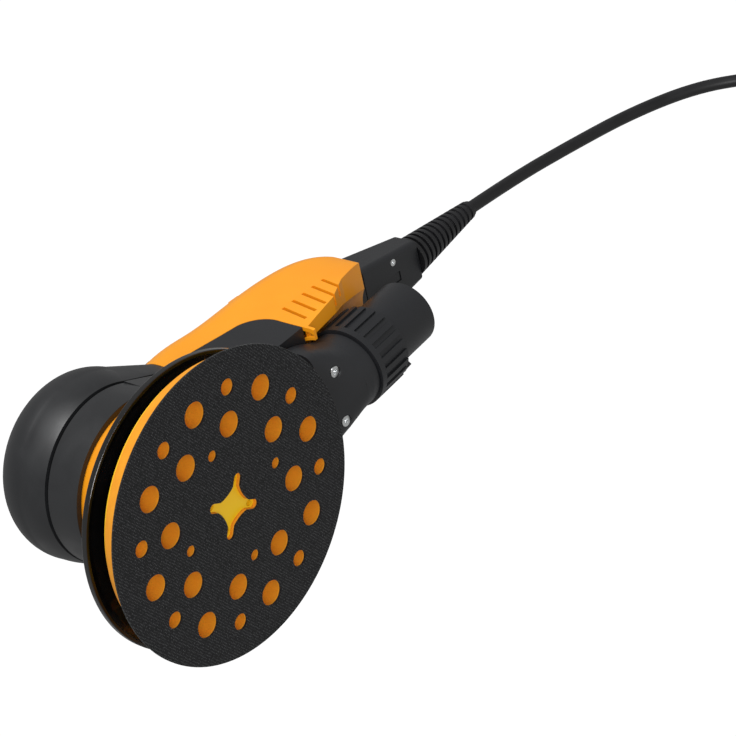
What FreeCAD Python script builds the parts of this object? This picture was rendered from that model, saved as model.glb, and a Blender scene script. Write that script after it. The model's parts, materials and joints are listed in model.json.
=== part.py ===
import FreeCAD
import math
import os
import re

import Part
import Sketcher
from FreeCAD import Placement, Rotation, Vector

# Random-orbital sander with a 150 mm pad, a brushless motor in the head, a paddle lever on the
# handle, a swivelling dust outlet and a detachable mains lead.
# Frame: +Z up, the sanding plane at Z = 0, the motor axis on Z, the handle towards +X. Millimetres.

SIZES = {
    # sanding pad, built upwards from the sanding plane
    "orbit_x": 1.347,
    "orbit_y": -2.106,
    "pad_radius": 75.0,
    "hook_top": 1.2,
    "foam_low_radius": 74.6,
    "foam_top_radius": 68.2,
    "foam_top": 12.4,
    "plate_top": 14.4,
    "plate_radius": 66.5,
    "large_hole": 6.2,
    "small_hole": 4.0,
    "tiny_hole": 2.7,
    "outer_ring": 55.2,
    "small_ring": 57.7,
    "middle_ring": 40.0,
    "tiny_ring": 30.7,
    "star_body": 9.5,
    "star_waist": 7.6,
    "star_reach": 15.6,
    "star_arm": 2.4,
    # spindle and its bearing in the eccentric hub
    "stud_radius": 4.0,
    "stud_flange": 8.0,
    "star_face": 2.8,
    "star_gap": 0.15,
    "stud_top": 25.0,
    "spindle_radius": 6.0,
    "spindle_flange": 9.5,
    "spindle_low": 15.5,
    "spindle_seat": 20.5,
    "spindle_top": 36.0,
    "pad_bearing_radius": 11.0,
    "running_gap": 0.03,
    # rotor
    "hub_radius": 17.0,
    "hub_low": 21.5,
    "hub_web": 36.6,
    "hub_top": 43.5,
    "weight_radius": 31.0,
    "weight_low": 22.0,
    "weight_top": 30.0,
    "fan_radius": 37.5,
    "fan_low": 31.0,
    "fan_disc": 40.0,
    "fan_top": 41.5,
    "fan_blade": 1.6,
    "shaft_radius": 5.0,
    "shaft_low": 37.5,
    "shaft_neck": 4.0,
    "shaft_step": 90.5,
    "shaft_top": 101.0,
    "core_low": 62.0,
    "core_top": 82.0,
    "core_radius": 15.0,
    "magnet_radius": 18.4,
    # stator
    "stator_radius": 33.0,
    "yoke_radius": 28.0,
    "stator_bore": 19.6,
    "tooth_width": 5.0,
    "coil_width": 9.6,
    "coil_low": 59.0,
    "coil_top": 85.0,
    "board_low": 85.8,
    "board_top": 87.2,
    "bridge_low": 88.3,
    "bridge_web": 91.5,
    "bridge_top": 99.5,
    "bridge_radius": 36.0,
    "upper_seat": 11.0,
    "lower_seat": 13.0,
    "lower_bearing_low": 46.0,
    "lower_bearing_top": 54.0,
    # head and its covers
    "housing_radius": 42.0,
    "housing_low": 26.0,
    "housing_chamber": 39.6,
    "housing_floor": 44.5,
    "housing_rim": 58.0,
    "housing_tube": 36.0,
    "stator_clearance": 0.1,
    "grip_low": 55.0,
    "grip_top": 75.6,
    "grip_low_radius": 45.0,
    "grip_top_radius": 43.8,
    "cap_low": 77.4,
    "cap_low_radius": 44.2,
    "cap_radius": 46.6,
    "cap_waist": 92.0,
    "cap_top": 116.5,
    "cap_wall": 2.6,
    "groove_depth": 1.8,
    "flank_root": 18.0,
    "flank_half_width": 42.4,
    "shroud_radius": 71.0,
    "shroud_low": 20.5,
    "shroud_lip": 24.5,
    "shroud_roof": 30.5,
    "shroud_wall": 1.8,
    "seal_radius": 52.0,
    "seal_low": 14.7,
    # handle, drawn about its own origin and set on the head here
    "saddle_x": 6.36,
    "saddle_z": 2.61,
    "neck_front": 43.5,
    "handle_rear": 160.5,
    "handle_low": 31.2,
    "handle_wall": 2.6,
    "belly_rear": 97.0,
    "seam_height": 38.0,
    "screw_floor": 25.6,
    "louvre_width": 1.9,
    "louvre_length": 18.0,
    "louvre_pitch": 7.4,
    # dust outlet
    "duct_front": 36.5,
    "duct_throat_rear": 62.0,
    "duct_throat_low": 34.0,
    "duct_rear": 96.0,
    "duct_half_width": 16.5,
    "duct_low": 41.0,
    "duct_top": 54.0,
    "duct_wall": 1.8,
    "cover_front": 80.0,
    "cover_half_width": 27.0,
    "cover_low": 16.4,
    "cover_high": 41.5,
    "cover_wall": 2.2,
    "cover_screw_x": 90.2,
    "cover_screw_y": 14.0,
    "cover_screw_z": 15.0,
    "outlet_start": 110.4,
    "outlet_height": 29.6,
    "outlet_tilt": 6.4,
    "outlet_radius": 20.2,
    "swivel_radius": 16.95,
    "swivel_bore": 17.0,
    "swivel_insert": 7.0,
    "hose_bore": 15.2,
    "spigot_radius": 17.25,
    "spigot_length": 55.5,
    "spigot_root_radius": 17.0,
    "collar_radius": 20.6,
    "collar_length": 25.5,
    "rib_height": 1.1,
    "rib_width": 2.8,
    # lever and buttons
    "lever_pivot_x": 118.0,
    "lever_pivot_z": 104.4,
    "lever_front": 50.0,
    "lever_half_width": 15.0,
    "lever_rest": 4.0,
    "lever_thickness": 2.6,
    "spring_x": 66.0,
    "spring_low": 98.6,
    "spring_high": 107.8,
    "pin_radius": 1.5,
    "pin_gap": 0.05,
    "button_radius": 3.8,
    "power_radius": 4.8,
    "button_gap": 0.2,
    "panel_low": 98.5,
    "panel_top": 103.4,
    # mains connector
    "block_front": 168.0,
    "block_rear": 210.5,
    "latch_front": 173.5,
    "latch_rear": 194.5,
    "latch_half_width": 2.3,
    "latch_gap": 0.4,
    "latch_height": 64.2,
    "relief_start": 210.5,
    "relief_height": 70.6,
    "relief_end": 266.5,
    "relief_tilt": 2.6,
    "relief_large": 10.9,
    "relief_small": 5.4,
    # cord
    "cord_radius": 3.5,
    "coil_middle": 40.0,
    "coil_layers": 4.0,
}

# The cord's own route from the strain relief to the coil, in order.
LEAD_ROUTE = [
    (272.9, 0.0, 75.7),
    (308.4, 0.0, 73.4),
    (350.4, 0.0, 66.4),
    (398.4, 0.0, 56.0),
    (440.4, 1.0, 38.8),
    (464.4, 2.5, 11.9),
    (500.4, 5.0, 3.5),
    (538.4, 8.0, 3.5),
    (581.4, 8.5, 3.5),
]
COIL_CENTRE = (581.4, -42.0)
TAIL_ROUTE = [
    (581.4, 8.5, 24.5),
    (612.4, 8.5, 22.5),
    (638.4, 6.0, 7.0),
    (664.4, 0.0, 8.4),
    (690.4, -9.0, 8.4),
]

doc = FreeCAD.newDocument("OrbitalSander")
sheet = doc.addObject("Spreadsheet::Sheet", "Sizes")
nodes = []


def fill_sheet():
    """Put every driving size in the sheet, one plain number to a cell with its alias."""
    for row, (alias, number) in enumerate(SIZES.items(), start=1):
        sheet.set(f"A{row}", alias)
        sheet.set(f"B{row}", str(number))
        sheet.setAlias(f"B{row}", alias)
    doc.recompute()


def size(expression):
    """Work out an expression in the sheet's own names."""
    if isinstance(expression, (int, float)):
        return float(expression)
    return float(sheet.evalExpression(expression))


def bound(expression):
    """Write an expression in the sheet's names as another object must write it."""
    return re.sub(r"[a-z][a-z_]+", lambda m: "Sizes." + m.group() if m.group() in SIZES else m.group(),
                  str(expression))


def bind(thing, **sizes):
    """Bind properties of an object to expressions; a double underscore stands for a dot."""
    for name, expression in sizes.items():
        thing.setExpression(name.replace("__", "."), bound(expression))
    return thing


def keep(thing, label):
    """Name a finished sub-part; its label is its node's name."""
    thing.Label = label
    nodes.append(thing)
    return thing


def origin_plane(body, role):
    """Find one of a body's own origin planes."""
    return next(plane for plane in body.Origin.OriginFeatures if plane.Role == role)


def outline_sketch(body, name, role, points):
    """Draw a closed outline of straight lines, each corner bound to a pair of expressions."""
    sketch = body.newObject("Sketcher::SketchObject", name)
    sketch.AttachmentSupport = [(origin_plane(body, role), "")]
    sketch.MapMode = "FlatFace"
    corners = [Vector(size(across), size(up), 0) for across, up in points]
    count = len(corners)
    for index in range(count):
        sketch.addGeometry(Part.LineSegment(corners[index], corners[(index + 1) % count]), False)
    constrained(sketch, points, count)
    return sketch


def constrained(sketch, points, count):
    """Join the lines end to end and bind every corner."""
    for index in range(count):
        sketch.addConstraint(Sketcher.Constraint("Coincident", index, 2, (index + 1) % count, 1))
    for index, (across, up) in enumerate(points):
        for kind, expression in (("DistanceX", across), ("DistanceY", up)):
            number = sketch.addConstraint(
                Sketcher.Constraint(kind, -1, 1, index, 1, size(expression)))
            sketch.setExpression(f"Constraints[{number}]", bound(expression))


def turned(name, points):
    """Revolve an outline of (radius, height) corners about Z."""
    body = doc.addObject("PartDesign::Body", name)
    sketch = outline_sketch(body, name + "_outline", "XZ_Plane", points)
    turn = body.newObject("PartDesign::Revolution", name + "_turn")
    turn.Profile = sketch
    turn.ReferenceAxis = (sketch, ["V_Axis"])
    turn.Angle = 360.0
    body.Tip = turn
    return body


def rounded(body, corners):
    """Round the circular edges of a turned body that lie at the given (radius, height) corners."""
    doc.recompute()
    base = body.Tip
    for number, (radius, height, rounding) in enumerate(corners):
        edges = [f"Edge{i}" for i, edge in enumerate(base.Shape.Edges, start=1)
                 if hasattr(edge.Curve, "Radius") and abs(edge.Curve.Radius - size(radius)) < 1e-4
                 and abs(edge.Curve.Center.z - size(height)) < 1e-4]
        fillet = body.newObject("PartDesign::Fillet", f"{body.Name}_round_{number}")
        fillet.Base = (base, edges)
        bind(fillet, Radius=rounding)
        body.Tip = fillet
        doc.recompute()
        base = fillet
    return body


def box(name, low, high):
    """Make a box between two corners, each coordinate an expression."""
    solid = doc.addObject("Part::Box", name)
    for axis, side, start, end in zip("xyz", ("Length", "Width", "Height"), low, high):
        bind(solid, **{"Placement__Base__" + axis: start, side: f"({end}) - ({start})"})
    return solid


def cylinder(name, radius, low, high, at=("0", "0")):
    """Make an upright cylinder between two heights."""
    solid = doc.addObject("Part::Cylinder", name)
    bind(solid, Radius=radius, Height=f"({high}) - ({low})", Placement__Base__x=at[0],
         Placement__Base__y=at[1], Placement__Base__z=low)
    return solid


def cross_cylinder(name, radius, low_y, high_y, at):
    """Make a cylinder along Y between two sides, at an (x, z) pair of expressions."""
    solid = doc.addObject("Part::Cylinder", name)
    solid.Placement.Rotation = Rotation(Vector(1, 0, 0), -90)
    bind(solid, Radius=radius, Height=f"({high_y}) - ({low_y})", Placement__Base__x=at[0],
         Placement__Base__y=low_y, Placement__Base__z=at[1])
    return solid


def ring_of(name, count, start_angle, ring, radius, low, high, centre=("0", "0")):
    """Make upright cylinders evenly round a circle."""
    made = []
    for index in range(count):
        angle = start_angle + 360.0 * index / count
        made.append(cylinder(f"{name}_{index}", radius, low, high,
                             (f"({centre[0]}) + ({ring}) * cos({angle})",
                              f"({centre[1]}) + ({ring}) * sin({angle})")))
    return made


def fuse(name, things):
    """Join several objects."""
    joined = doc.addObject("Part::MultiFuse", name)
    joined.Shapes = things
    return joined


def cut(name, base, tools):
    """Cut one or several objects from another."""
    tool = tools if not isinstance(tools, list) else (
        tools[0] if len(tools) == 1 else fuse(name + "_tools", tools))
    result = doc.addObject("Part::Cut", name)
    result.Base = base
    result.Tool = tool
    return result


def fixed(name, shape):
    """Hold a shape that Part's own functions made."""
    feature = doc.addObject("Part::Feature", name)
    feature.Shape = shape
    return feature


# --- the pad -------------------------------------------------------------------------------------

PAD_HOLES = [
    # count, first angle, ring, radius
    (8, -9.0, "outer_ring", "large_hole"),
    (8, 13.4, "small_ring", "small_hole"),
    (8, 13.4, "middle_ring", "large_hole"),
    (4, -9.0, "tiny_ring", "tiny_hole"),
]
STAR_ANGLE = 27.6
PAD_CENTRE = ("orbit_x", "orbit_y")
AT_PAD = {"Placement__Base__x": "orbit_x", "Placement__Base__y": "orbit_y"}


def pad_holes(name, low, high):
    """Make the dust holes that run through a layer of the pad."""
    holes = []
    for number, (count, angle, ring, radius) in enumerate(PAD_HOLES):
        holes += ring_of(f"{name}_hole_{number}", count, angle, ring, radius, f"({low}) - 1",
                         f"({high}) + 1", PAD_CENTRE)
    return holes


def star_prism(low, high, shrink=0.0):
    """Extrude the four-armed form at the pad's centre, drawn in all round by a gap."""
    body, waist = size("star_body") - shrink, size("star_waist") - shrink
    reach, arm = size("star_reach") - shrink, size("star_arm") - shrink
    edges = []
    for quarter in range(4):
        turn = Rotation(Vector(0, 0, 1), STAR_ANGLE + 90.0 * quarter)
        places = [turn.multVec(Vector(*spot, low)) for spot in (
            (body, -arm), (reach - arm, -arm), (reach, 0), (reach - arm, arm), (body, arm),
            (waist * math.cos(math.pi / 4), waist * math.sin(math.pi / 4)), (arm, body))]
        edges.append(Part.LineSegment(places[0], places[1]).toShape())
        edges.append(Part.Arc(places[1], places[2], places[3]).toShape())
        edges.append(Part.LineSegment(places[3], places[4]).toShape())
        edges.append(Part.Arc(places[4], places[5], places[6]).toShape())
    outline = Part.Wire(edges)
    prism = Part.Face(outline).extrude(Vector(0, 0, high - low))
    prism.translate(Vector(size("orbit_x"), size("orbit_y"), 0))
    return prism


def pad_layer(label, disc, low, high):
    """Cut the dust holes and the star through one layer of the pad."""
    tools = pad_holes(label, low, high)
    tools.append(fixed(label + "_star", star_prism(size(low) - 1, size(high) + 1)))
    return keep(cut(label + "_cut", disc, tools), label)


def make_pad():
    """Make the pad: hook face, foam, back plate with its hub, stud and spindle."""
    pad_layer("pad_hook_face", cylinder("hook_disc", "pad_radius", "0", "hook_top", PAD_CENTRE),
              "0", "hook_top")
    foam = doc.addObject("Part::Cone", "foam_disc")
    bind(foam, Radius1="foam_low_radius", Radius2="foam_top_radius", Height="foam_top - hook_top",
         Placement__Base__z="hook_top", **AT_PAD)
    pad_layer("pad_foam", foam, "hook_top", "foam_top")
    plate = cylinder("plate_disc", "plate_radius", "foam_top", "plate_top", PAD_CENTRE)
    hub = cylinder("plate_hub", "stud_flange + 3", "plate_top", "spindle_low", PAD_CENTRE)
    tools = pad_holes("plate", "foam_top", "plate_top")
    tools.append(cylinder("plate_bore", "stud_radius", "foam_top - 1", "spindle_low + 1", PAD_CENTRE))
    tools.append(cylinder("plate_sink", "stud_flange", "foam_top - 1", "foam_top + 1.6", PAD_CENTRE))
    star = star_prism(size("star_face"), size("foam_top"), size("star_gap"))
    for number in range(4):
        turn = Rotation(Vector(0, 0, 1), STAR_ANGLE + 90.0 * number)
        end = turn.multVec(Vector(size("star_reach") - 3.4, 0, 0))
        star = star.cut(Part.makeCylinder(1.5, 5.0, Vector(end.x + size("orbit_x"), end.y + size("orbit_y"),
                                                           size("star_face") - 1)))
    plate = cut("plate_cut", fuse("plate_join", [plate, hub]), tools)
    keep(fuse("plate_with_star", [plate, fixed("carrier_star", star)]), "pad_backplate")

    stud = turned("stud", [("0", "foam_top"), ("stud_flange", "foam_top"),
                           ("stud_flange", "foam_top + 1.6"), ("stud_radius", "foam_top + 1.6"),
                           ("stud_radius", "stud_top"), ("0", "stud_top")])
    bind(stud, **AT_PAD)
    keep(stud, "pad_stud")

    spindle = turned("spindle", [
        ("stud_radius", "spindle_low"), ("spindle_flange", "spindle_low"),
        ("spindle_flange", "spindle_seat"), ("spindle_radius", "spindle_seat"),
        ("spindle_radius", "spindle_top"), ("0", "spindle_top"), ("0", "stud_top + 0.5"),
        ("stud_radius", "stud_top + 0.5")])
    bind(spindle, **AT_PAD)
    keep(spindle, "pad_spindle")


# --- the rotor -----------------------------------------------------------------------------------

def make_rotor():
    """Make the shaft, rotor, eccentric hub, counterweight, dust fan and the pad's bearing."""
    bearing = turned("pad_race", [
        ("spindle_radius + running_gap", "spindle_seat + 1.2"),
        ("pad_bearing_radius", "spindle_seat + 1.2"), ("pad_bearing_radius", "spindle_top"),
        ("spindle_radius + running_gap", "spindle_top")])
    bind(bearing, **AT_PAD)
    keep(bearing, "pad_bearing")

    hub = cylinder("hub_blank", "hub_radius", "hub_low", "hub_top")
    keep(cut("hub_cut", hub, [
        cylinder("hub_eccentric_bore", "pad_bearing_radius", "hub_low - 1", "hub_web", PAD_CENTRE),
        cylinder("hub_shaft_bore", "shaft_radius", "shaft_low", "hub_top + 1")]), "eccentric_hub")

    disc = cylinder("weight_disc", "weight_radius", "weight_low", "weight_top")
    towards_pad = math.degrees(math.atan2(size("orbit_y"), size("orbit_x")))
    keep(cut("weight_cut", disc, [
        cylinder("weight_bore", "hub_radius", "weight_low - 1", "weight_top + 1"),
        radial_box("weight_missing_side", "-2", "weight_radius + 1", "2 * weight_radius + 2",
                   "weight_low - 1", "weight_top + 1", towards_pad)]), "counterweight")

    blades = []
    for index in range(11):
        blade = box(f"fan_blade_{index}", ("hub_radius + 1", "-fan_blade / 2", "fan_low"),
                    ("fan_radius - 0.5", "fan_blade / 2", "fan_disc + 0.5"))
        blade.setExpression("Placement.Base.x", None)
        blade.setExpression("Placement.Base.y", None)
        turn = Rotation(Vector(0, 0, 1), 360.0 * index / 11)
        blade.Placement.Rotation = turn
        place = turn.multVec(Vector(size("hub_radius + 1"), -size("fan_blade") / 2, 0))
        blade.Placement.Base = Vector(place.x, place.y, size("fan_low"))
        blades.append(blade)
    plate = cylinder("fan_plate", "fan_radius", "fan_disc", "fan_top")
    ring = cylinder("fan_ring", "hub_radius + 2", "fan_low", "fan_disc")
    keep(cut("fan_cut", fuse("fan_join", [plate, ring] + blades),
             cylinder("fan_bore", "hub_radius", "fan_low - 1", "fan_top + 1")), "dust_fan")

    keep(turned("shaft", [
        ("0", "shaft_low"), ("shaft_radius", "shaft_low"), ("shaft_radius", "shaft_step"),
        ("shaft_neck", "shaft_step"), ("shaft_neck", "shaft_top"), ("0", "shaft_top")]),
        "motor_shaft")
    keep(turned("core", [
        ("shaft_radius", "core_low"), ("core_radius", "core_low"), ("core_radius", "core_top"),
        ("shaft_radius", "core_top")]), "rotor_core")

    sleeve = cylinder("magnet_sleeve", "magnet_radius", "core_low", "core_top")
    gaps = [cylinder("magnet_bore", "core_radius", "core_low - 1", "core_top + 1")]
    for index in range(4):
        gap = box(f"magnet_gap_{index}", ("-magnet_radius - 1", "-0.5", "core_low - 1"),
                  ("magnet_radius + 1", "0.5", "core_top + 1"))
        gap.setExpression("Placement.Base.x", None)
        gap.setExpression("Placement.Base.y", None)
        turn = Rotation(Vector(0, 0, 1), 45.0 * index)
        gap.Placement.Rotation = turn
        place = turn.multVec(Vector(-size("magnet_radius + 1"), -0.5, 0))
        gap.Placement.Base = Vector(place.x, place.y, size("core_low - 1"))
        gaps.append(gap)
    keep(cut("magnet_cut", sleeve, gaps), "rotor_magnets")


# --- the stator and its bearings -----------------------------------------------------------------

TEETH = 12


def radial_box(name, near, far, width, low, high, angle):
    """Make a box that points outwards from Z at an angle."""
    solid = doc.addObject("Part::Box", name)
    bind(solid, Length=f"({far}) - ({near})", Width=width, Height=f"({high}) - ({low})")
    turn = Rotation(Vector(0, 0, 1), angle)
    place = turn.multVec(Vector(size(near), -size(width) / 2, 0))
    solid.Placement = Placement(Vector(place.x, place.y, size(low)), turn)
    return solid


def make_stator():
    """Make the toothed core, its coils, the sensor board and the two shaft bearings."""
    yoke = cut("yoke_cut", cylinder("yoke", "stator_radius", "core_low", "core_top"),
               cylinder("yoke_bore", "yoke_radius", "core_low - 1", "core_top + 1"))
    teeth = [radial_box(f"tooth_{i}", "stator_bore", "yoke_radius + 1", "tooth_width", "core_low",
                        "core_top", 360.0 * i / TEETH) for i in range(TEETH)]
    keep(fuse("stator_join", [yoke] + teeth), "stator_core")

    blocks = [radial_box(f"coil_{i}", "stator_bore + 2", "yoke_radius - 0.6", "coil_width",
                         "coil_low", "coil_top", 360.0 * i / TEETH) for i in range(TEETH)]
    slots = [radial_box(f"coil_slot_{i}", "stator_bore + 1", "yoke_radius + 1", "tooth_width",
                        "core_low", "core_top", 360.0 * i / TEETH) for i in range(TEETH)]
    keep(cut("windings_cut", fuse("windings_join", blocks), slots), "stator_windings")

    board = cylinder("board_disc", "stator_radius - 1", "board_low", "board_top")
    keep(cut("board_cut", board, cylinder("board_bore", "stator_bore", "board_low - 1",
                                          "board_top + 1")), "sensor_board")

    keep(turned("bridge", [
        ("shaft_neck + 3", "bridge_low"), ("bridge_radius", "bridge_low"),
        ("bridge_radius", "bridge_web"), ("upper_seat + 3", "bridge_web"),
        ("upper_seat + 3", "bridge_top"), ("upper_seat", "bridge_top"),
        ("upper_seat", "bridge_web + 0.5"), ("shaft_neck + 3", "bridge_web + 0.5")]),
        "bearing_bridge")
    keep(turned("upper_race", [
        ("shaft_neck + running_gap", "bridge_web + 0.5"), ("upper_seat", "bridge_web + 0.5"),
        ("upper_seat", "bridge_top"), ("shaft_neck + running_gap", "bridge_top")]),
        "upper_bearing")
    keep(turned("lower_race", [
        ("shaft_radius + running_gap", "lower_bearing_low"), ("lower_seat", "lower_bearing_low"),
        ("lower_seat", "lower_bearing_top"), ("shaft_radius + running_gap", "lower_bearing_top")]),
        "lower_bearing")
    heads = ring_of("bridge_head", 4, 45, "34", "2", "bridge_web", "bridge_web + 2")
    keep(fuse("bridge_screws_join", heads), "bridge_screws")


# --- the head ------------------------------------------------------------------------------------

def make_head():
    """Make the main housing, its shroud and seal, the rubber grip and the cap."""
    blank = turned("housing", [
        ("housing_chamber", "housing_low"), ("housing_radius", "housing_low"),
        ("housing_radius", "housing_rim"), ("housing_tube", "housing_rim"),
        ("housing_tube", "bridge_low"), ("stator_radius + stator_clearance", "bridge_low"),
        ("stator_radius + stator_clearance", "housing_floor + 3"),
        ("lower_seat + 3.5", "housing_floor + 3"), ("lower_seat + 3.5", "lower_bearing_top + 2.5"),
        ("shaft_radius + 4", "lower_bearing_top + 2.5"), ("shaft_radius + 4", "lower_bearing_top"),
        ("lower_seat", "lower_bearing_top"), ("lower_seat", "housing_floor"),
        ("housing_chamber", "housing_floor")])
    outlet = box("housing_outlet", ("housing_chamber - 8", "-duct_half_width + 3", "housing_low + 7"),
                 ("housing_radius + 4", "duct_half_width - 3", "housing_floor - 1.5"))
    keep(cut("housing_cut", blank, outlet), "main_housing")

    keep(turned("shroud", [
        ("housing_radius + 0.1", "shroud_roof - 3.5"),
        ("shroud_radius - shroud_wall - 5", "shroud_lip - 0.5"),
        ("shroud_radius - shroud_wall", "shroud_low + 1"),
        ("shroud_radius - shroud_wall", "shroud_low"), ("shroud_radius", "shroud_low"),
        ("shroud_radius", "shroud_lip - 1"), ("shroud_radius - 4", "shroud_lip + 1.6"),
        ("housing_radius + 6", "shroud_roof"), ("housing_radius + 0.1", "shroud_roof")]),
        "dust_shroud")

    keep(turned("seal", [
        ("housing_radius + 0.1", "housing_low - 2"), ("seal_radius - 1", "seal_low + 3"),
        ("seal_radius - 1", "seal_low"), ("seal_radius + 1", "seal_low"),
        ("seal_radius + 1", "seal_low + 4"), ("housing_radius + 2", "housing_low + 0.6"),
        ("housing_radius + 0.1", "housing_low + 0.6")]), "brake_seal")

    grip = turned("grip", [
        ("housing_radius + 0.05", "grip_low"), ("grip_low_radius", "grip_low"),
        ("grip_top_radius", "grip_top"), ("housing_tube + 2.5", "grip_top"),
        ("housing_tube + 2.5", "housing_rim + 0.05"), ("housing_radius + 0.05", "housing_rim + 0.05")])
    flanks = cut("grip_flanks_cut", fixed("grip_flanks", flank_form()),
                 cylinder("grip_flanks_bore", "housing_radius + 0.05", "0", "120"))
    keep(cut("grip_cut", fuse("grip_join", [grip, flanks]),
             box("grip_neck", ("26", "-28.2", "0"), ("70", "28.2", "120"))), "head_grip")

    spacer = turned("spacer", [
        ("housing_tube + 0.1", "grip_top - 1"), ("housing_tube + 2.4", "grip_top - 1"),
        ("housing_tube + 2.4", "grip_top + 0.05"),
        ("grip_top_radius - groove_depth", "grip_top + 0.05"),
        ("grip_top_radius - groove_depth", "cap_low - 0.05"), ("housing_tube + 0.1", "cap_low - 0.05")])
    keep(cut("spacer_cut", spacer, box("spacer_neck", ("26", "-28.2", "0"), ("70", "28.2", "120"))),
         "cap_ring")
    keep(fixed("cap", head_cap()), "head_cap")
    heads = ring_of("cap_screw", 3, 120, "housing_tube + 4.2", "2.4", "cap_low + 3.6", "cap_low + 5.6")
    keep(fuse("cap_screws_join", heads), "cap_screws")


def dome_outline(shrink):
    """Draw half of the cap's side outline, drawn in by a wall thickness, from base to axis."""
    radius = size("cap_radius") - shrink
    base_radius = size("cap_low_radius") - shrink
    low, waist, top = size("cap_low"), size("cap_waist"), size("cap_top") - shrink
    shoulder = Vector(radius - 6.2, 0, top - 6.0)
    crown = Vector(radius - 23.0, 0, top - 0.9)
    drop = top - crown.z
    ball = (crown.x ** 2 + drop ** 2) / (2 * drop)
    half_angle = math.asin(crown.x / ball) / 2
    middle = Vector(ball * math.sin(half_angle), 0, top - ball + ball * math.cos(half_angle))
    return [
        Part.Arc(Vector(base_radius, 0, low), Vector(radius - 0.5, 0, low + 8), Vector(radius, 0, waist)),
        Part.Arc(Vector(radius, 0, waist), Vector(radius - 1.3, 0, waist + 11.5), shoulder),
        Part.Arc(shoulder, Vector(radius - 13.2, 0, top - 2.3), crown),
        Part.Arc(crown, middle, Vector(0, 0, top)),
    ]


def dome(shrink, low):
    """Revolve the cap's outline into a solid that starts at a given height."""
    edges = [arc.toShape() for arc in dome_outline(shrink)]
    base = edges[0].Vertexes[0].Point
    foot = Vector(base.x, 0, low)
    if abs(base.z - low) > 1e-6:
        edges.insert(0, Part.LineSegment(foot, base).toShape())
    edges.insert(0, Part.LineSegment(Vector(0, 0, low), foot).toShape())
    edges.append(Part.LineSegment(Vector(0, 0, size("cap_top") - shrink), Vector(0, 0, low)).toShape())
    return Part.Face(Part.Wire(edges)).revolve(Vector(0, 0, 0), Vector(0, 0, 1), 360)


def flank_form():
    """Extrude the grip's two flanks, which run from the drum in to the handle's width."""
    rear, half = size("neck_front + saddle_x"), HANDLE_STATIONS[1][1]
    outline = [Vector(size("flank_root"), size("flank_half_width") - 1.6, size("grip_low")),
               Vector(rear, half, size("grip_low")), Vector(rear, -half, size("grip_low")),
               Vector(size("flank_root"), 1.6 - size("flank_half_width"), size("grip_low"))]
    slab = Part.Face(Part.makePolygon(outline + outline[:1])).extrude(
        Vector(0, 0, size("grip_top - grip_low")))
    return slab.cut(Part.makeBox(200, 56.4, 120, Vector(-100, -28.2, 0)))


def evenly(points, count):
    """Take points spaced evenly by length along a chain of (across, up) points."""
    lengths = [0.0]
    for (a, b), (c, d) in zip(points, points[1:]):
        lengths.append(lengths[-1] + math.hypot(c - a, d - b))
    taken = []
    for index in range(count):
        target = lengths[-1] * index / (count - 1)
        step = next(i for i in range(1, len(lengths)) if lengths[i] >= target - 1e-9)
        share = (target - lengths[step - 1]) / (lengths[step] - lengths[step - 1])
        taken.append(tuple(mix(near, far, share) for near, far in zip(points[step - 1], points[step])))
    return taken


def arch(place, side, floor):
    """Close an arch across X: one side's (half width, height) points, mirrored, and a straight foot."""
    chain = evenly(side, 12)
    points = [Vector(place, across, up) for across, up in chain]
    points += [Vector(place, -across, up) for across, up in chain[-2::-1]]
    curve = Part.BSplineCurve()
    curve.interpolate(Points=points)
    low, high = Vector(place, -side[0][0], floor), Vector(place, side[0][0], floor)
    return Part.Wire([curve.toShape(), Part.LineSegment(low, high).toShape()])


def neck_blend(shrink, floor):
    """Loft from the drum's own section in to the section at the front of the handle."""
    root, rear = size("flank_root"), size("neck_front + saddle_x")
    profile = [(point.x, point.z) for arc in dome_outline(shrink + 0.4)[:3]
               for point in arc.toShape().discretize(14)]
    near = [(math.sqrt(radius ** 2 - root ** 2), up) for radius, up in profile
            if radius > root + 1 and up > floor + 0.5]
    near = [(near[0][0], floor)] + near + [(0.0, near[-1][1] + 0.35)]
    _, half, top = HANDLE_STATIONS[1]
    half, top, rounding = half - shrink, top + size("saddle_z") - shrink, 17.0 - shrink * 0.5
    turn = [(half - rounding + rounding * math.cos(angle), top - rounding + rounding * math.sin(angle))
            for angle in (math.pi / 2 * step / 8 for step in range(9))]
    far = [(half, floor)] + turn + [(0.0, top)]
    return Part.makeLoft([arch(root, near, floor), arch(rear + (2.0 if shrink else 0.0), far, floor)],
                         True, True)


def head_cap():
    """Make the cap: a hollow dome whose flanks run back to the handle, open towards it."""
    wall, low = size("cap_wall"), size("cap_low")
    outer = dome(0, low).fuse(neck_blend(0.0, low))
    shell = outer.cut(neck_blend(wall, low + wall)).cut(dome(wall, low - 1))
    return shell.removeSplitter()


# --- the handle ----------------------------------------------------------------------------------

# Stations of the handle along X: place, half width, top height.
HANDLE_STATIONS = [
    (8.0, 27.5, 103.5),
    (43.5, 28.0, 103.0),
    (75.0, 29.0, 102.4),
    (105.0, 30.0, 101.8),
    (135.0, 30.0, 100.8),
    (150.0, 29.2, 97.2),
    (157.5, 28.2, 92.4),
    (161.5, 27.0, 86.6),
]


# The joining screws sit in the left shell at these (x, z) places.
SHELL_SCREWS = [(56.0, 92.0), (100.0, 84.0), (146.0, 74.0)]


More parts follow.
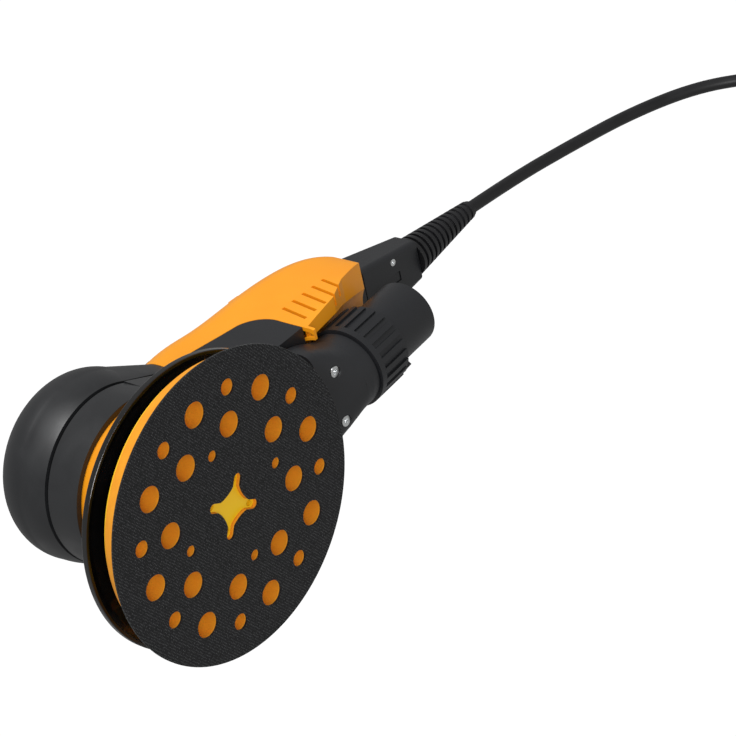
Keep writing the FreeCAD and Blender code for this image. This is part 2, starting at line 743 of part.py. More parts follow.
def handle_section(place, half_width, top, low, shrink):
    """Draw the handle's cross section: a tall rounded outline, wider rounding at its top."""
    half = half_width - shrink
    high = top - shrink
    low = low + shrink
    upper = min(17.0, (high - low) * 0.42) - shrink * 0.5
    lower = 5.0 - shrink * 0.5
    bend = math.sqrt(0.5)

    def spot(across, up):
        return Vector(place, across, up)

    corners = []
    for side, level, rounding, sense in (
            (1, low, lower, -1), (1, high, upper, 1), (-1, high, upper, 1), (-1, low, lower, -1)):
        middle = (side * (half - rounding), level - sense * rounding)
        flat = spot(middle[0], level)
        upright = spot(side * half, middle[1])
        through = spot(middle[0] + side * rounding * bend, middle[1] + sense * rounding * bend)
        corners.append((flat, through, upright) if (side * sense) < 0 else (upright, through, flat))
    edges = []
    for index, (start, through, end) in enumerate(corners):
        following = corners[(index + 1) % 4][0]
        edges.append(Part.Arc(start, through, end).toShape())
        edges.append(Part.LineSegment(end, following).toShape())
    return Part.Wire(edges)


def handle_envelope(shrink):
    """Loft the handle's whole outer form, drawn in all round by a wall thickness."""
    low = size("handle_low") - 3.0
    wires = [handle_section(place - (shrink if place > 155 else 0), half, top, low, shrink)
             for place, half, top in HANDLE_STATIONS]
    return Part.makeLoft(wires, True, False)


def belly_region(grow):
    """Extrude the side view of the black underside, up to where the bright shells begin."""
    low, rear = size("handle_low"), size("belly_rear") + grow
    seam = size("seam_height")
    path = [Vector(20, -60, low), Vector(78, -60, low), Vector(78, -60, seam), Vector(rear, -60, seam),
            Vector(rear, -60, 52)]
    edges = [Part.LineSegment(a, b).toShape() for a, b in zip(path, path[1:])]
    curve = [Vector(rear, -60, 52), Vector(rear - 3.0, -60, 64.5 + grow), Vector(86.0, -60, 71.0 + grow)]
    edges.append(Part.Arc(*curve).toShape())
    top = [curve[2], Vector(20, -60, 84.5 + grow), path[0]]
    edges += [Part.LineSegment(a, b).toShape() for a, b in zip(top, top[1:])]
    return Part.Face(Part.Wire(edges)).extrude(Vector(0, 120, 0))


def outlet_frame():
    """Give the placement of the dust outlet: its own X runs out along the tilted tube."""
    return Placement(Vector(size("outlet_start"), 0, size("outlet_height")),
                     Rotation(Vector(0, 1, 0), -size("outlet_tilt")))


def along_outlet(radius, start, end):
    """Make a cylinder along the tilted outlet."""
    solid = Part.makeCylinder(radius, end - start, Vector(start, 0, 0), Vector(1, 0, 0))
    solid.Placement = outlet_frame().multiply(solid.Placement)
    return solid


def lower_line_cut(raised):
    """Make the wedge that lifts the shells' lower edge towards the rear, raised by a distance."""
    low = size("handle_low") - 10
    outline = [Vector(99, -60, 36 + raised), Vector(125, -60, 42 + raised),
               Vector(141, -60, 50.5 + raised), Vector(170, -60, 58.5 + raised),
               Vector(170, -60, low), Vector(-20, -60, low), Vector(-20, -60, size("handle_low")),
               Vector(99, -60, size("handle_low"))]
    return Part.Face(Part.makePolygon(outline + outline[:1])).extrude(Vector(0, 120, 0))


def handle_shells():
    """Make the hollow of both bright shells together, before it is split down the middle."""
    wall = size("handle_wall")
    outer = handle_envelope(0.0)
    hollow = handle_envelope(wall).cut([lower_line_cut(wall), along_outlet(25.6, -14.0, 70.0)])
    shell = outer.cut(hollow)
    rear = size("handle_rear")
    rear_wall = outer.common(Part.makeBox(wall, 80, 60, Vector(rear - wall, -40, 40)))
    shell = shell.fuse(rear_wall)
    front_cut = Part.makeBox(60, 90, 140, Vector(size("neck_front") + 0.3 - 60, -45, 0))
    shell = shell.cut([front_cut, belly_region(0.3), lower_line_cut(0.0),
                       along_outlet(24.0, -14.0, 70.0),
                       Part.makeBox(20, 90, 140, Vector(rear, -45, 0)),
                       Part.makeBox(size("belly_rear") - 59.7, 90, 8.6, Vector(60, -45, 30))])
    return shell


def louvres(side):
    """Make the row of upright slots in one side of the handle."""
    slots = []
    for index in range(5):
        slot = Part.makeBox(size("louvre_width"), 10, size("louvre_length"))
        slot.translate(Vector(0, -5, 0))
        slot.rotate(Vector(0, 0, 0), Vector(0, 1, 0), 9.0)
        slot.translate(Vector(103.4 + size("louvre_pitch") * index, side * 29.0, 42.0))
        slots.append(slot)
    return slots


def make_handle():
    """Make both handle shells, the black underside, their screws and the rear collar."""
    shell = handle_shells()
    outer_form = handle_envelope(0.0)
    pivot_x, pivot_z = size("lever_pivot_x"), size("lever_pivot_z")
    for label, side in (("handle_shell_left", 1), ("handle_shell_right", -1)):
        half = Part.makeBox(240, 60, 140, Vector(-20, 0.02 if side > 0 else -60.02, 0))
        ear = Part.makeBox(7, 2.6, 8.4, Vector(pivot_x - 3.5, 16.2 if side > 0 else -18.8, pivot_z - 5.9))
        ear = ear.cut(Part.makeCylinder(size("pin_radius"), 60, Vector(pivot_x, -30, pivot_z),
                                        Vector(0, 1, 0)))
        panel_room = Part.makeBox(27, 26, 20, Vector(124.5, -13, 92))
        plunger_room = Part.makeCylinder(3.6, 20, Vector(94, 0, 92))
        socket_room = Part.makeBox(30, 37, 24.4, Vector(140, -18.5, 61.8))
        spring_cup = Part.makeCylinder(5.2, 4.6, Vector(size("spring_x"), 0, size("spring_low") - 1.2))
        spring_room = Part.makeCylinder(3.7, 12, Vector(size("spring_x"), 0, size("spring_low")))
        piece = shell.common(half).fuse([ear, spring_cup.common(half)])
        piece = piece.cut([panel_room, plunger_room, socket_room, spring_room] + louvres(side))
        if side > 0:
            floor = size("screw_floor")
            for x, z in SHELL_SCREWS:
                seat = Part.makeCylinder(4.6, 5.5, Vector(x, floor - 2.4, z), Vector(0, 1, 0))
                recess = Part.makeCylinder(2.75, 12, Vector(x, floor, z), Vector(0, 1, 0))
                piece = piece.fuse(seat.common(outer_form)).cut(recess)
        keep(fixed(label + "_shape", piece), label)

    outer = handle_envelope(0.0).common(belly_region(0.0))
    inner = handle_envelope(size("handle_wall")).common(
        belly_region(0.0).cut(Part.makeBox(200, 120, 2.4, Vector(0, -60, size("handle_low")))))
    belly = outer.cut(inner)
    belly = belly.fuse(handle_envelope(0.0).common(
        Part.makeBox(2.4, 100, 17, Vector(size("belly_rear") - 2.4, -50, 40))).common(belly_region(0.0)))
    belly = belly.fuse(handle_envelope(0.0).common(
        Part.makeBox(19, 100, 2.4, Vector(78, -50, size("seam_height")))).common(belly_region(0.0)))
    rooms = [Part.makeCylinder(size("grip_low_radius") + 0.3, 120, Vector(-size("saddle_x"), 0, 0)),
             Part.makeBox(60, 90, 24, Vector(size("neck_front") + 0.3 - 60, -45,
                                             size("cap_low - saddle_z") - 0.3)),
             Part.makeBox(size("duct_throat_rear") - 29.7, 2 * size("duct_half_width") + 0.6,
                          size("duct_top - duct_throat_low") + 0.6,
                          Vector(30, -size("duct_half_width") - 0.3, size("duct_throat_low") - 0.3)),
             Part.makeBox(size("duct_rear") - 38.7, 2 * size("duct_half_width") + 0.6,
                          size("duct_top") - size("duct_low") + 0.6,
                          Vector(39, -size("duct_half_width") - 0.3, size("duct_low") - 0.3)),
             Part.makeBox(15.4, 2 * size("duct_half_width") - 2, 6, Vector(80.8, 1 - size("duct_half_width"), 37)),
             Part.makeBox(90, 46.6, 2.2, Vector(47, -23.3, 57.7))]
    keep(fixed("belly_shape", belly.cut(rooms)), "handle_belly")

    heads = []
    for index, (x, z) in enumerate(SHELL_SCREWS):
        heads.append(cross_cylinder(f"shell_screw_{index}", "2.6", "screw_floor", "screw_floor + 2",
                                    (str(x), str(z))))
    keep(fuse("shell_screws_join", heads), "shell_screws")

    collar = loft_box((160.8, 18.0, 62.4, 86.0), (167.6, 17.6, 62.6, 86.4), 5.0)
    room = Part.makeBox(20, 27, 15, Vector(155, -13.5, 66.5))
    keep(fixed("end_collar_shape", collar.cut(room)), "end_collar")


def loft_box(front, rear, rounding):
    """Loft between two rounded rectangles across X: each is place, half width, low and high."""
    wires = []
    for place, half, low, high in (front, rear):
        wires.append(rounded_rectangle(place, half, low, high, rounding))
    return Part.makeLoft(wires, True, True)


def rounded_rectangle(place, half, low, high, rounding):
    """Draw a rounded rectangle across X."""
    rounding = min(rounding, (high - low) / 2 - 0.01, half - 0.01)
    bend = rounding * (1 - math.sqrt(0.5))
    corners = []
    for across, up in ((1, -1), (1, 1), (-1, 1), (-1, -1)):
        y = across * half
        z = high if up > 0 else low
        side = Vector(place, y, z - up * rounding)
        flat = Vector(place, y - across * rounding, z)
        through = Vector(place, y - across * bend, z - up * bend)
        corners.append((flat, through, side) if across * up < 0 else (side, through, flat))
    edges = []
    for index, (start, through, end) in enumerate(corners):
        edges.append(Part.Arc(start, through, end).toShape())
        edges.append(Part.LineSegment(end, corners[(index + 1) % 4][0]).toShape())
    return Part.Wire(edges)


# --- the dust outlet -----------------------------------------------------------------------------

def make_outlet():
    """Make the duct through the handle, its cover and screws, and the swivelling hose end."""
    half, wall = "duct_half_width", "duct_wall"
    outer = fuse("duct_outer", [
        box("duct_run", ("duct_throat_rear - 10", "-" + half, "duct_low"), ("duct_rear", half, "duct_top")),
        box("duct_throat", ("duct_front", "-" + half, "duct_throat_low"),
            ("duct_throat_rear", half, "duct_top"))])
    inner = fuse("duct_inner", [
        box("duct_run_air", ("duct_throat_rear - 10", f"{wall} - {half}", f"duct_low + {wall}"),
            (f"duct_rear - {wall}", f"{half} - {wall}", f"duct_top - {wall}")),
        box("duct_throat_air", ("duct_front - 1", f"{wall} - {half}", f"duct_throat_low + {wall}"),
            (f"duct_throat_rear - {wall}", f"{half} - {wall}", f"duct_top - {wall}"))])
    drop = box("duct_drop", ("82.6", f"{wall} - {half}", "duct_low - 1"),
               (f"duct_rear - {wall}", f"{half} - {wall}", "duct_low + 3"))
    keep(cut("duct_cut", outer, [inner, drop]), "dust_duct")

    keep(fixed("cover_shape", duct_cover()), "duct_cover")
    screw_x, screw_y, screw_z = (size(name) for name in ("cover_screw_x", "cover_screw_y", "cover_screw_z"))
    screws = []
    for side in (-1, 1):
        head = Part.makeCylinder(2.8, 2.0, Vector(screw_x, side * screw_y, screw_z))
        drive = Part.makeCylinder(1.1, 1.2, Vector(screw_x, side * screw_y, screw_z - 0.1))
        screws.append(head.cut(drive))
    keep(fixed("duct_screws_shape", Part.makeCompound(screws)), "duct_screws")

    spigot = along_outlet(size("spigot_radius"), size("collar_length + 0.5"), size("spigot_length"))
    spigot = spigot.fuse(along_outlet(size("spigot_root_radius"), 0.4, size("collar_length + 1")))
    spigot = spigot.fuse(along_outlet(size("swivel_radius"), -size("swivel_insert"), 1.0))
    spigot = spigot.cut(along_outlet(size("hose_bore"), -10.0, 70.0)).removeSplitter()
    keep(fixed("spigot_shape", spigot), "hose_spigot")
    keep(fixed("collar_shape", hose_collar()), "hose_collar")


def superellipse(half, low, high, power):
    """Draw a closed superellipse across X as one smooth edge; a power of 2 gives a circle."""
    middle, tall = (low + high) / 2, (high - low) / 2
    points = []
    for index in range(32):
        angle = 2 * math.pi * index / 32
        across, up = math.cos(angle), math.sin(angle)
        points.append(Vector(0, half * math.copysign(abs(across) ** (2 / power), across),
                             middle + tall * math.copysign(abs(up) ** (2 / power), up)))
    curve = Part.BSplineCurve()
    curve.interpolate(Points=points, PeriodicFlag=True)
    return Part.Wire(curve.toShape())


def mix(near, far, share):
    """Go a share of the way from one value to another."""
    return near + (far - near) * share


def cover_form(shrink):
    """Loft the cover's form: wide under the handle, round where the hose end begins."""
    radius, tilt = size("outlet_radius"), size("outlet_tilt")
    start, end = size("cover_front") + shrink, size("outlet_start") - 4.0
    pivot_z = size("outlet_height") - 0.4
    steps = 6
    stations = []
    for index in range(steps + 1):
        share = index / steps
        ease = share * share * (3 - 2 * share)
        place = mix(start, end, share)
        ring = superellipse(mix(size("cover_half_width"), radius, ease) - shrink,
                            mix(size("cover_low"), pivot_z - radius, ease) + shrink,
                            mix(size("cover_high"), pivot_z + radius, ease) - shrink,
                            mix(4.2, 2.0, ease))
        ring.translate(Vector(place, 0, 0))
        ring.rotate(Vector(place, 0, pivot_z), Vector(0, 1, 0), -tilt * ease)
        stations.append(ring)
    final = superellipse(radius - shrink, shrink - radius, radius - shrink, 2.0)
    final.Placement = outlet_frame()
    return Part.makeLoft(stations + [final], True, True)


def duct_cover():
    """Make the hollow cover under the handle with its swivel bore and screw recesses."""
    wall = size("cover_wall")
    form = cover_form(0.0)
    neck = along_outlet(size("outlet_radius") - wall / 2, -9.0, -0.2).cut(
        along_outlet(size("swivel_bore"), -12.0, 2.0))
    cover = form.cut(cover_form(wall)).fuse(neck).cut(along_outlet(size("swivel_bore"), -9.0, 4.0))
    mouth = Part.makeBox(12.6, 2 * size("duct_half_width") - 4, 12,
                         Vector(81.8, 2 - size("duct_half_width"), 33))
    over_seam = Part.makeBox(60, 80, 30, Vector(78.2, -40, size("seam_height") - 0.1)).cut(
        Part.makeBox(60, 90, 40, Vector(size("belly_rear") + 0.4, -45, 30)))
    cover = cover.cut([mouth, over_seam])
    screw_x, screw_y, screw_z = (size(name) for name in ("cover_screw_x", "cover_screw_y", "cover_screw_z"))
    for side in (-1, 1):
        boss = Part.makeCylinder(4.8, 16, Vector(screw_x, side * screw_y, 6))
        recess = Part.makeCylinder(3.0, 16, Vector(screw_x, side * screw_y, screw_z - 14))
        cover = cover.fuse(boss.common(form)).cut(recess)
    return cover


def hose_collar():
    """Make the ribbed collar that carries the spigot and turns with it."""
    length, radius = size("collar_length"), size("collar_radius")
    collar = along_outlet(radius, 1.0, length)
    ribs = []
    for index in range(24):
        rib = Part.makeBox(length - 6.0, size("rib_width"), size("rib_height") + 2.0,
                           Vector(4.4, -size("rib_width") / 2, radius - 2.0))
        rib.rotate(Vector(0, 0, 0), Vector(1, 0, 0), 15.0 * index)
        rib.Placement = outlet_frame().multiply(rib.Placement)
        ribs.append(rib)
    collar = collar.fuse([along_outlet(radius + size("rib_height"), 1.0, 4.6)] + ribs)
    lug = Part.makeBox(6.0, 6.0, 3.0, Vector(length - 1.0, -3.0, -radius - 0.2))
    lug.rotate(Vector(0, 0, 0), Vector(1, 0, 0), 44.0)
    lug.Placement = outlet_frame().multiply(lug.Placement)
    collar = collar.cut(along_outlet(size("spigot_root_radius") + 0.05, -1.0, length + 0.4))
    return collar.fuse(lug.cut(along_outlet(size("spigot_radius") + 0.05, -1.0, 60.0)))


# --- lever, buttons and electronics --------------------------------------------------------------

def lever_shape():
    """Make the paddle lever: a curved plate with side cheeks, bored for its pin, with a plunger."""
    front, pivot_x, pivot_z = size("lever_front"), size("lever_pivot_x"), size("lever_pivot_z")
    half = size("lever_half_width")
    length = pivot_x - front
    plate = rounded_slab(-length, 3.2, half, 0.0, size("lever_thickness"), 9.0)
    boss = Part.makeCylinder(2.4, 2 * half, Vector(0, -half, 0), Vector(0, 1, 0))
    plate = plate.fuse(boss)
    cheeks = [Part.makeBox(length - 26, 1.8, 2.0, Vector(8 - length, y, -1.0)) for y in (-half, half - 1.8)]
    lever = plate.fuse(cheeks)
    lever = lever.cut(Part.makeCylinder(size("pin_radius") + size("pin_gap"), 60, Vector(0, -30, 0),
                                        Vector(0, 1, 0)))
    lever = lever.fuse(Part.makeCylinder(2.2, 10.0, Vector(-24.4, 0, -9.2)))
    lever.rotate(Vector(0, 0, 0), Vector(0, 1, 0), size("lever_rest"))
    lever.translate(Vector(pivot_x, 0, pivot_z))
    return lever


def rounded_slab(x_low, x_high, half, z_low, z_high, rounding):
    """Extrude a rectangle with rounded corners upwards."""
    bend = rounding * (1 - math.sqrt(0.5))
    corners = []
    for x, y, dx, dy in ((x_high, -half, 1, -1), (x_high, half, 1, 1), (x_low, half, -1, 1),
                         (x_low, -half, -1, -1)):
        through = Vector(x - dx * bend, y - dy * bend, z_low)
        on_x = Vector(x, y - dy * rounding, z_low)
        on_y = Vector(x - dx * rounding, y, z_low)
        corners.append((on_y, through, on_x) if dx * dy < 0 else (on_x, through, on_y))
    edges = []
    for index, (start, through, end) in enumerate(corners):
        edges.append(Part.Arc(start, through, end).toShape())
        edges.append(Part.LineSegment(end, corners[(index + 1) % 4][0]).toShape())
    return Part.Face(Part.Wire(edges)).extrude(Vector(0, 0, z_high - z_low))


def spring_shape():
    """Stack the lever's return spring from closed rings, from its cup to the lever's plate."""
    low, high, wire, rings = size("spring_low") + 0.02, size("spring_high"), 0.35, 6
    step = (high - low - 2 * wire) / (rings - 1)
    return Part.makeCompound([Part.makeTorus(3.0, wire, Vector(size("spring_x"), 0, low + wire + step * index))
                              for index in range(rings)])


BUTTONS = [
    # label, x, y, radius alias
    ("power_button", 144.5, 0.0, "power_radius"),
    ("speed_up_button", 131.5, 6.2, "button_radius"),
    ("speed_down_button", 131.5, -6.2, "button_radius"),
]


def make_controls():
    """Make the lever with its pin and spring, the buttons, their panel, lamp and switches."""
    keep(fixed("lever_form", lever_shape()), "paddle_lever")
    keep(cross_cylinder("lever_pin_rod", "pin_radius", "-18.8", "18.8", ("lever_pivot_x", "lever_pivot_z")),
         "lever_pin")
    keep(fixed("lever_spring_form", spring_shape()), "lever_spring")

    panel = fixed("panel_slab", rounded_slab(124.8, 151.2, 12.7, 0, size("panel_top - panel_low"), 6.0))
    bind(panel, Placement__Base__z="panel_low")
    holes = [cylinder(f"panel_hole_{label}", f"{radius} + button_gap", "panel_low - 1", "panel_top + 1",
                      (str(x), str(y))) for label, x, y, radius in BUTTONS]
    holes.append(cylinder("panel_lamp_hole", "1.5", "panel_low - 1", "panel_top + 1", ("137.6", "0")))
    keep(cut("panel_cut", panel, holes), "button_panel")
    keep(cylinder("lamp", "1.45", "panel_low", "panel_top + 0.2", ("137.6", "0")), "status_lamp")
    for label, x, y, radius in BUTTONS:
        button = turned(label + "_turn", [("0", "panel_low + 0.6"), (radius, "panel_low + 0.6"),
                                          (radius, "panel_top + 1.4"), ("0", "panel_top + 1.4")])
        rounded(button, [(radius, "panel_top + 1.4", "0.6")])
        bind(button, Placement__Base__x=str(x), Placement__Base__y=str(y))
        keep(button, label)
    board = box("button_board_plate", ("126", "-12", "92.4"), ("150", "12", "94"))
    domes = [box(f"tact_{label}", (f"{x} - 2.5", f"{y} - 2.5", "93.9"), (f"{x} + 2.5", f"{y} + 2.5", "97.6"))
             for label, x, y, _ in BUTTONS]
    keep(fuse("button_board_join", [board] + domes), "button_board")

    switch = box("switch_case", ("86", "-5", "84"), ("104", "5", "94"))
    plunger = cylinder("switch_plunger", "1.2", "93.5", "95.2", ("94", "0"))
    keep(fuse("switch_join", [switch, plunger]), "micro_switch")


def make_electronics():
    """Make the control board and what stands on it, and the mains inlet."""
    keep(box("control_plate", ("48", "-23", "58"), ("134", "23", "59.6")), "control_board")
    cans = [cylinder(f"capacitor_{index}", "7", "59.6", "80", (str(58 + 16 * index), "-12"))
            for index in range(3)]
    keep(fuse("capacitors_join", cans), "capacitors")
    base = box("sink_base", ("54", "4", "59.6"), ("92", "21", "63"))
    fins = [box(f"sink_fin_{index}", ("54", f"{4 + 3.85 * index}", "62.5"),
                ("92", f"{5.6 + 3.85 * index}", "76")) for index in range(5)]
    keep(fuse("sink_join", [base] + fins), "heat_sink")

    socket = box("socket_case", ("141", "-13", "66.8"), ("166.6", "13", "81.2"))
    room = box("socket_room", ("148", "-11", "68.8"), ("170", "11", "79.2"))
    keep(cut("socket_cut", socket, room), "mains_socket")
    pins = [cross_pin(f"contact_{index}", 145.0, 165.0, -7.0 + 7.0 * index, 74.0, 1.0) for index in range(3)]
    keep(fuse("contacts_join", pins), "socket_contacts")


def cross_pin(name, start, end, y, z, radius):
    """Make a round pin along X."""
    pin = doc.addObject("Part::Cylinder", name)
    pin.Radius = radius
    pin.Height = end - start
    pin.Placement = Placement(Vector(start, y, z), Rotation(Vector(0, 1, 0), 90))
    return pin


# --- the mains lead ------------------------------------------------------------------------------

def connector_block():
    """Make the lead's connector: a tapered block with a nose for the socket and a latch slot."""
    block = loft_box((size("block_front"), 17.4, 62.6, 86.2), (size("block_rear"), 11.6, 63.0, 79.4), 3.2)
    nose = Part.makeBox(12.4, 21.4, 9.8, Vector(158.4, -10.7, 69.1))
    sockets = [Part.makeCylinder(1.4, 13, Vector(158.0, y, 74.0), Vector(1, 0, 0)) for y in (-7, 0, 7)]
    gap = size("latch_gap")
    slot = Part.makeBox(size("latch_rear") - size("latch_front") + 2 * gap,
                        2 * (size("latch_half_width") + gap), 9.0,
                        Vector(size("latch_front") - gap, -size("latch_half_width") - gap, 60))
    screw = Part.makeCylinder(1.9, 3.0, Vector(191.0, -9.6, 61.5))
    pivot = Part.makeCylinder(0.85, 9.4, Vector(size("latch_rear") - 1.2, -4.7, size("latch_height")),
                              Vector(0, 1, 0))
    return block.fuse(nose).cut(sockets + [slot, screw, pivot])


def strain_relief():
    """Make the ribbed relief: rings that shrink along a tapered core, on a slightly raised axis."""
    length = size("relief_end") - size("relief_start")
    large, small = size("relief_large"), size("relief_small")
    core = Part.makeCone(large - 2.2, small - 0.9, length - 0.1, Vector(0.1, 0, 0), Vector(1, 0, 0))
    rings = []
    count = 13
    pitch = length / count
    for index in range(count):
        start = 0.1 + pitch * index
        width = pitch * 0.56
        near = large + (small - large) * index / (count - 1)
        far = near - 0.25
        rings.append(Part.makeCone(near, far, width, Vector(start, 0, 0), Vector(1, 0, 0)))
    relief = core.fuse(rings)
    relief.rotate(Vector(0, 0, 0), Vector(0, 1, 0), -size("relief_tilt"))
    relief.translate(Vector(size("relief_start"), 0, size("relief_height")))
    flush = Part.makeBox(10, 60, 60, Vector(size("relief_start") - 9.95, -30, 40))
    return relief.cut(flush)


def rounded_route(points):
    """Join straight runs with tangent arcs, each as large as its two runs allow."""
    places = [Vector(*point) for point in points]
    edges = []
    radii = []
    start = places[0]
    for before, corner, after in zip(places, places[1:], places[2:]):
        incoming, outgoing = corner - before, after - corner
        turn = incoming.getAngle(outgoing)
        setback = 0.45 * min(incoming.Length, outgoing.Length)
        radii.append(setback / math.tan(turn / 2))
        way_in = Vector(incoming).normalize()
        way_out = Vector(outgoing).normalize()
        enter, leave = corner - way_in * setback, corner + way_out * setback
        inward = (way_out - way_in).normalize()
        centre = corner + inward * math.hypot(setback, radii[-1])
        middle = centre - inward * radii[-1]
        edges.append(Part.LineSegment(start, enter).toShape())
        edges.append(Part.Arc(enter, middle, leave).toShape())
        start = leave
    edges.append(Part.LineSegment(start, places[-1]).toShape())
    return Part.Wire(edges), radii


def cord_tube(label, points):
    """Sweep the cord's round section along its route and report its bends."""
    path, radii = rounded_route(points)
    first = Vector(*points[1]) - Vector(*points[0])
    circle = Part.makeCircle(size("cord_radius"), Vector(*points[0]), first)
    tube = path.makePipeShell([Part.Wire(circle)], True, False)
    expected = math.pi * size("cord_radius") ** 2 * path.Length
    print(f"{label}: length {path.Length:.1f} mm, bends", [round(radius, 1) for radius in radii],
          f"volume ratio {tube.Volume / expected:.4f}")
    if abs(tube.Volume / expected - 1) > 0.01:
        raise ValueError(label + " has the wrong volume")
    return keep(fixed(label + "_shape", tube), label)


def plug_pieces():
    """Make the plug and its pins at the end of the tail, along the tail's last direction."""
    tip = Vector(*TAIL_ROUTE[-1])
    direction = tip - Vector(*TAIL_ROUTE[-2])
    body = Part.makeCone(5.0, 7.0, 14, Vector(0.05, 0, 0), Vector(1, 0, 0))
    shell = loft_box((13.0, 9.0, -6.0, 6.0), (26.0, 16.5, -8.0, 8.0), 5.0)
    face = loft_box((26.0, 16.5, -8.0, 8.0), (38.0, 17.5, -8.4, 8.4), 6.0)
    body = body.fuse([shell, face]).removeSplitter()
    bores = [Part.makeCylinder(2.4, 6.0, Vector(33.0, y, 0), Vector(1, 0, 0)) for y in (-9.5, 9.5)]
    pins = [Part.makeCylinder(2.4, 24.0, Vector(33.0, y, 0), Vector(1, 0, 0)) for y in (-9.5, 9.5)]
    body = body.cut(bores)
    pins = Part.makeCompound(pins)
    place = Placement(tip, Rotation(Vector(1, 0, 0), direction))
    for label, piece in (("plug_body", body), ("plug_pins", pins)):
        feature = fixed(label + "_shape", piece)
        feature.Placement = place
        keep(feature, label)


def make_connector():
    """Make the lead's connector with its latch and screw, and the strain relief."""
    keep(fixed("connector_shape", connector_block()), "connector_block")
    tongue = box("latch_tongue", ("latch_front", "-latch_half_width", "latch_height - 0.9"),
                 ("latch_rear", "latch_half_width", "latch_height + 0.9"))
    axle = cross_cylinder("latch_axle", "0.8", "-4.5", "4.5", ("latch_rear - 1.2", "latch_height"))
    keep(fuse("latch_join", [tongue, axle]), "latch")
    keep(cut("connector_screw_cut", cylinder("connector_screw_head", "1.85", "62.6", "64.4",
                                             ("191", "-9.6")),
             cylinder("connector_screw_drive", "0.7", "62", "63.4", ("191", "-9.6"))),
         "connector_screw")
    keep(fixed("relief_shape", strain_relief()), "strain_relief")


def make_cord():
    """Make the cord from the strain relief to the plug, with its coil."""
    cord_tube("cord_lead", LEAD_ROUTE)
    coil_radius, cord = size("coil_middle"), size("cord_radius")
    spread = size("coil_layers") * cord
    ring = turned("coil_ring", [
        ("coil_middle - coil_layers * cord_radius", "0"), ("coil_middle + coil_layers * cord_radius", "0"),
        ("coil_middle + coil_layers * cord_radius", "2 * coil_layers * cord_radius"),
        ("coil_middle - coil_layers * cord_radius", "2 * coil_layers * cord_radius")])
    rounded(ring, [("coil_middle + coil_layers * cord_radius", "2 * coil_layers * cord_radius",
                    "cord_radius")])
    ring.Placement.Base = Vector(*COIL_CENTRE, 0)
    print(f"coil: inside {coil_radius - spread:.1f} mm, outside {coil_radius + spread:.1f} mm")
    keep(ring, "cord_coil")
    cord_tube("cord_tail", TAIL_ROUTE)
    plug_pieces()


def write_parts(carried):
    """Check everything, set what the handle carries on the head, then write one file each."""
    doc.recompute()
    for thing in doc.Objects:
        if "Invalid" in thing.State or "Error" in thing.State:
            raise ValueError(f"{thing.Label} failed: {thing.State}")
    for node in nodes:
        if node.Shape.isNull() or not node.Shape.isValid() or node.Shape.Volume <= 0:
            raise ValueError(f"{node.Label} has no valid solid")
    os.makedirs("parts", exist_ok=True)
    for node in nodes:
        shape = node.Shape.copy()
        if node in carried:
            shape.translate(Vector(size("saddle_x"), 0, size("saddle_z")))
        shape.exportStep(f"parts/{node.Label}.step")
        print(f"{node.Label}: {len(node.Shape.Solids)} solids, {node.Shape.Volume / 1000:.2f} cm3")


fill_sheet()
make_pad()
make_rotor()
make_stator()
make_head()
before = len(nodes)
make_handle()
make_outlet()
make_controls()
make_electronics()
make_connector()
handle_group = nodes[before:]
make_cord()
write_parts(handle_group)
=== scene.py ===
"""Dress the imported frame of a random-orbital sander: pad, drive, head, handle, dust outlet, lead."""

import json
import logging
import math
from dataclasses import dataclass
from enum import Enum
from typing import Dict, List, Optional, Sequence, Tuple, Union

import bmesh
import bpy
from mathutils import Matrix, Vector

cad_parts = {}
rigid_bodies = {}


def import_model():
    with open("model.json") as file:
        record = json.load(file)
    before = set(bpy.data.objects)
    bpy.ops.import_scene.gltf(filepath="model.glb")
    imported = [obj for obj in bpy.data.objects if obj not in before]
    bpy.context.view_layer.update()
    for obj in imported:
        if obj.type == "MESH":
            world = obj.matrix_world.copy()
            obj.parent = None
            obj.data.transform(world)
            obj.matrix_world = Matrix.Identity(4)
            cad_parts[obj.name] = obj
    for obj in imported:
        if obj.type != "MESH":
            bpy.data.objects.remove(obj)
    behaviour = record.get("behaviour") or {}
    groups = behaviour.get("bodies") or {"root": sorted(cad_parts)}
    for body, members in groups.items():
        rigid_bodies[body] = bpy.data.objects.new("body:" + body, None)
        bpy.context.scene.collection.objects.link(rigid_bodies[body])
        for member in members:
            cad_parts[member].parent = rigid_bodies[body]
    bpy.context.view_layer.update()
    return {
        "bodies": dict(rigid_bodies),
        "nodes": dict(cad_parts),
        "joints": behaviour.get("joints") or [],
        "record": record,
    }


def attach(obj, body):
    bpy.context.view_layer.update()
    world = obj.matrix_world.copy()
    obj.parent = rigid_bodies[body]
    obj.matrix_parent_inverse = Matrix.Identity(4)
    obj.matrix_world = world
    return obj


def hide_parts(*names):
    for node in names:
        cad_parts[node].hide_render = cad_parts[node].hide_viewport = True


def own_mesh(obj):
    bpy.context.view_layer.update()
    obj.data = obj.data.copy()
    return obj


log = logging.getLogger("sander")

Point = Tuple[float, float, float]
Colour = Tuple[float, float, float, float]
Socket = Union[bpy.types.NodeSocket, float, Sequence[float]]

MM = 0.001
JOIN_DISTANCE = 1e-6
ROUNDING_SEGMENTS = 3
SHARP_EDGE_DEGREES = 32.0


# --- small tools ---------------------------------------------------------------------------------

def linear(code: str) -> Colour:
    """Turn an sRGB hex colour into linear light.

    Args:
        code: six hex digits after a hash sign.

    Returns:
        Red, green, blue and an alpha of one.
    """
    channels = [int(code[index:index + 2], 16) / 255 for index in (1, 3, 5)]
    light = [c / 12.92 if c <= 0.04045 else ((c + 0.055) / 1.055) ** 2.4 for c in channels]
    return (light[0], light[1], light[2], 1.0)


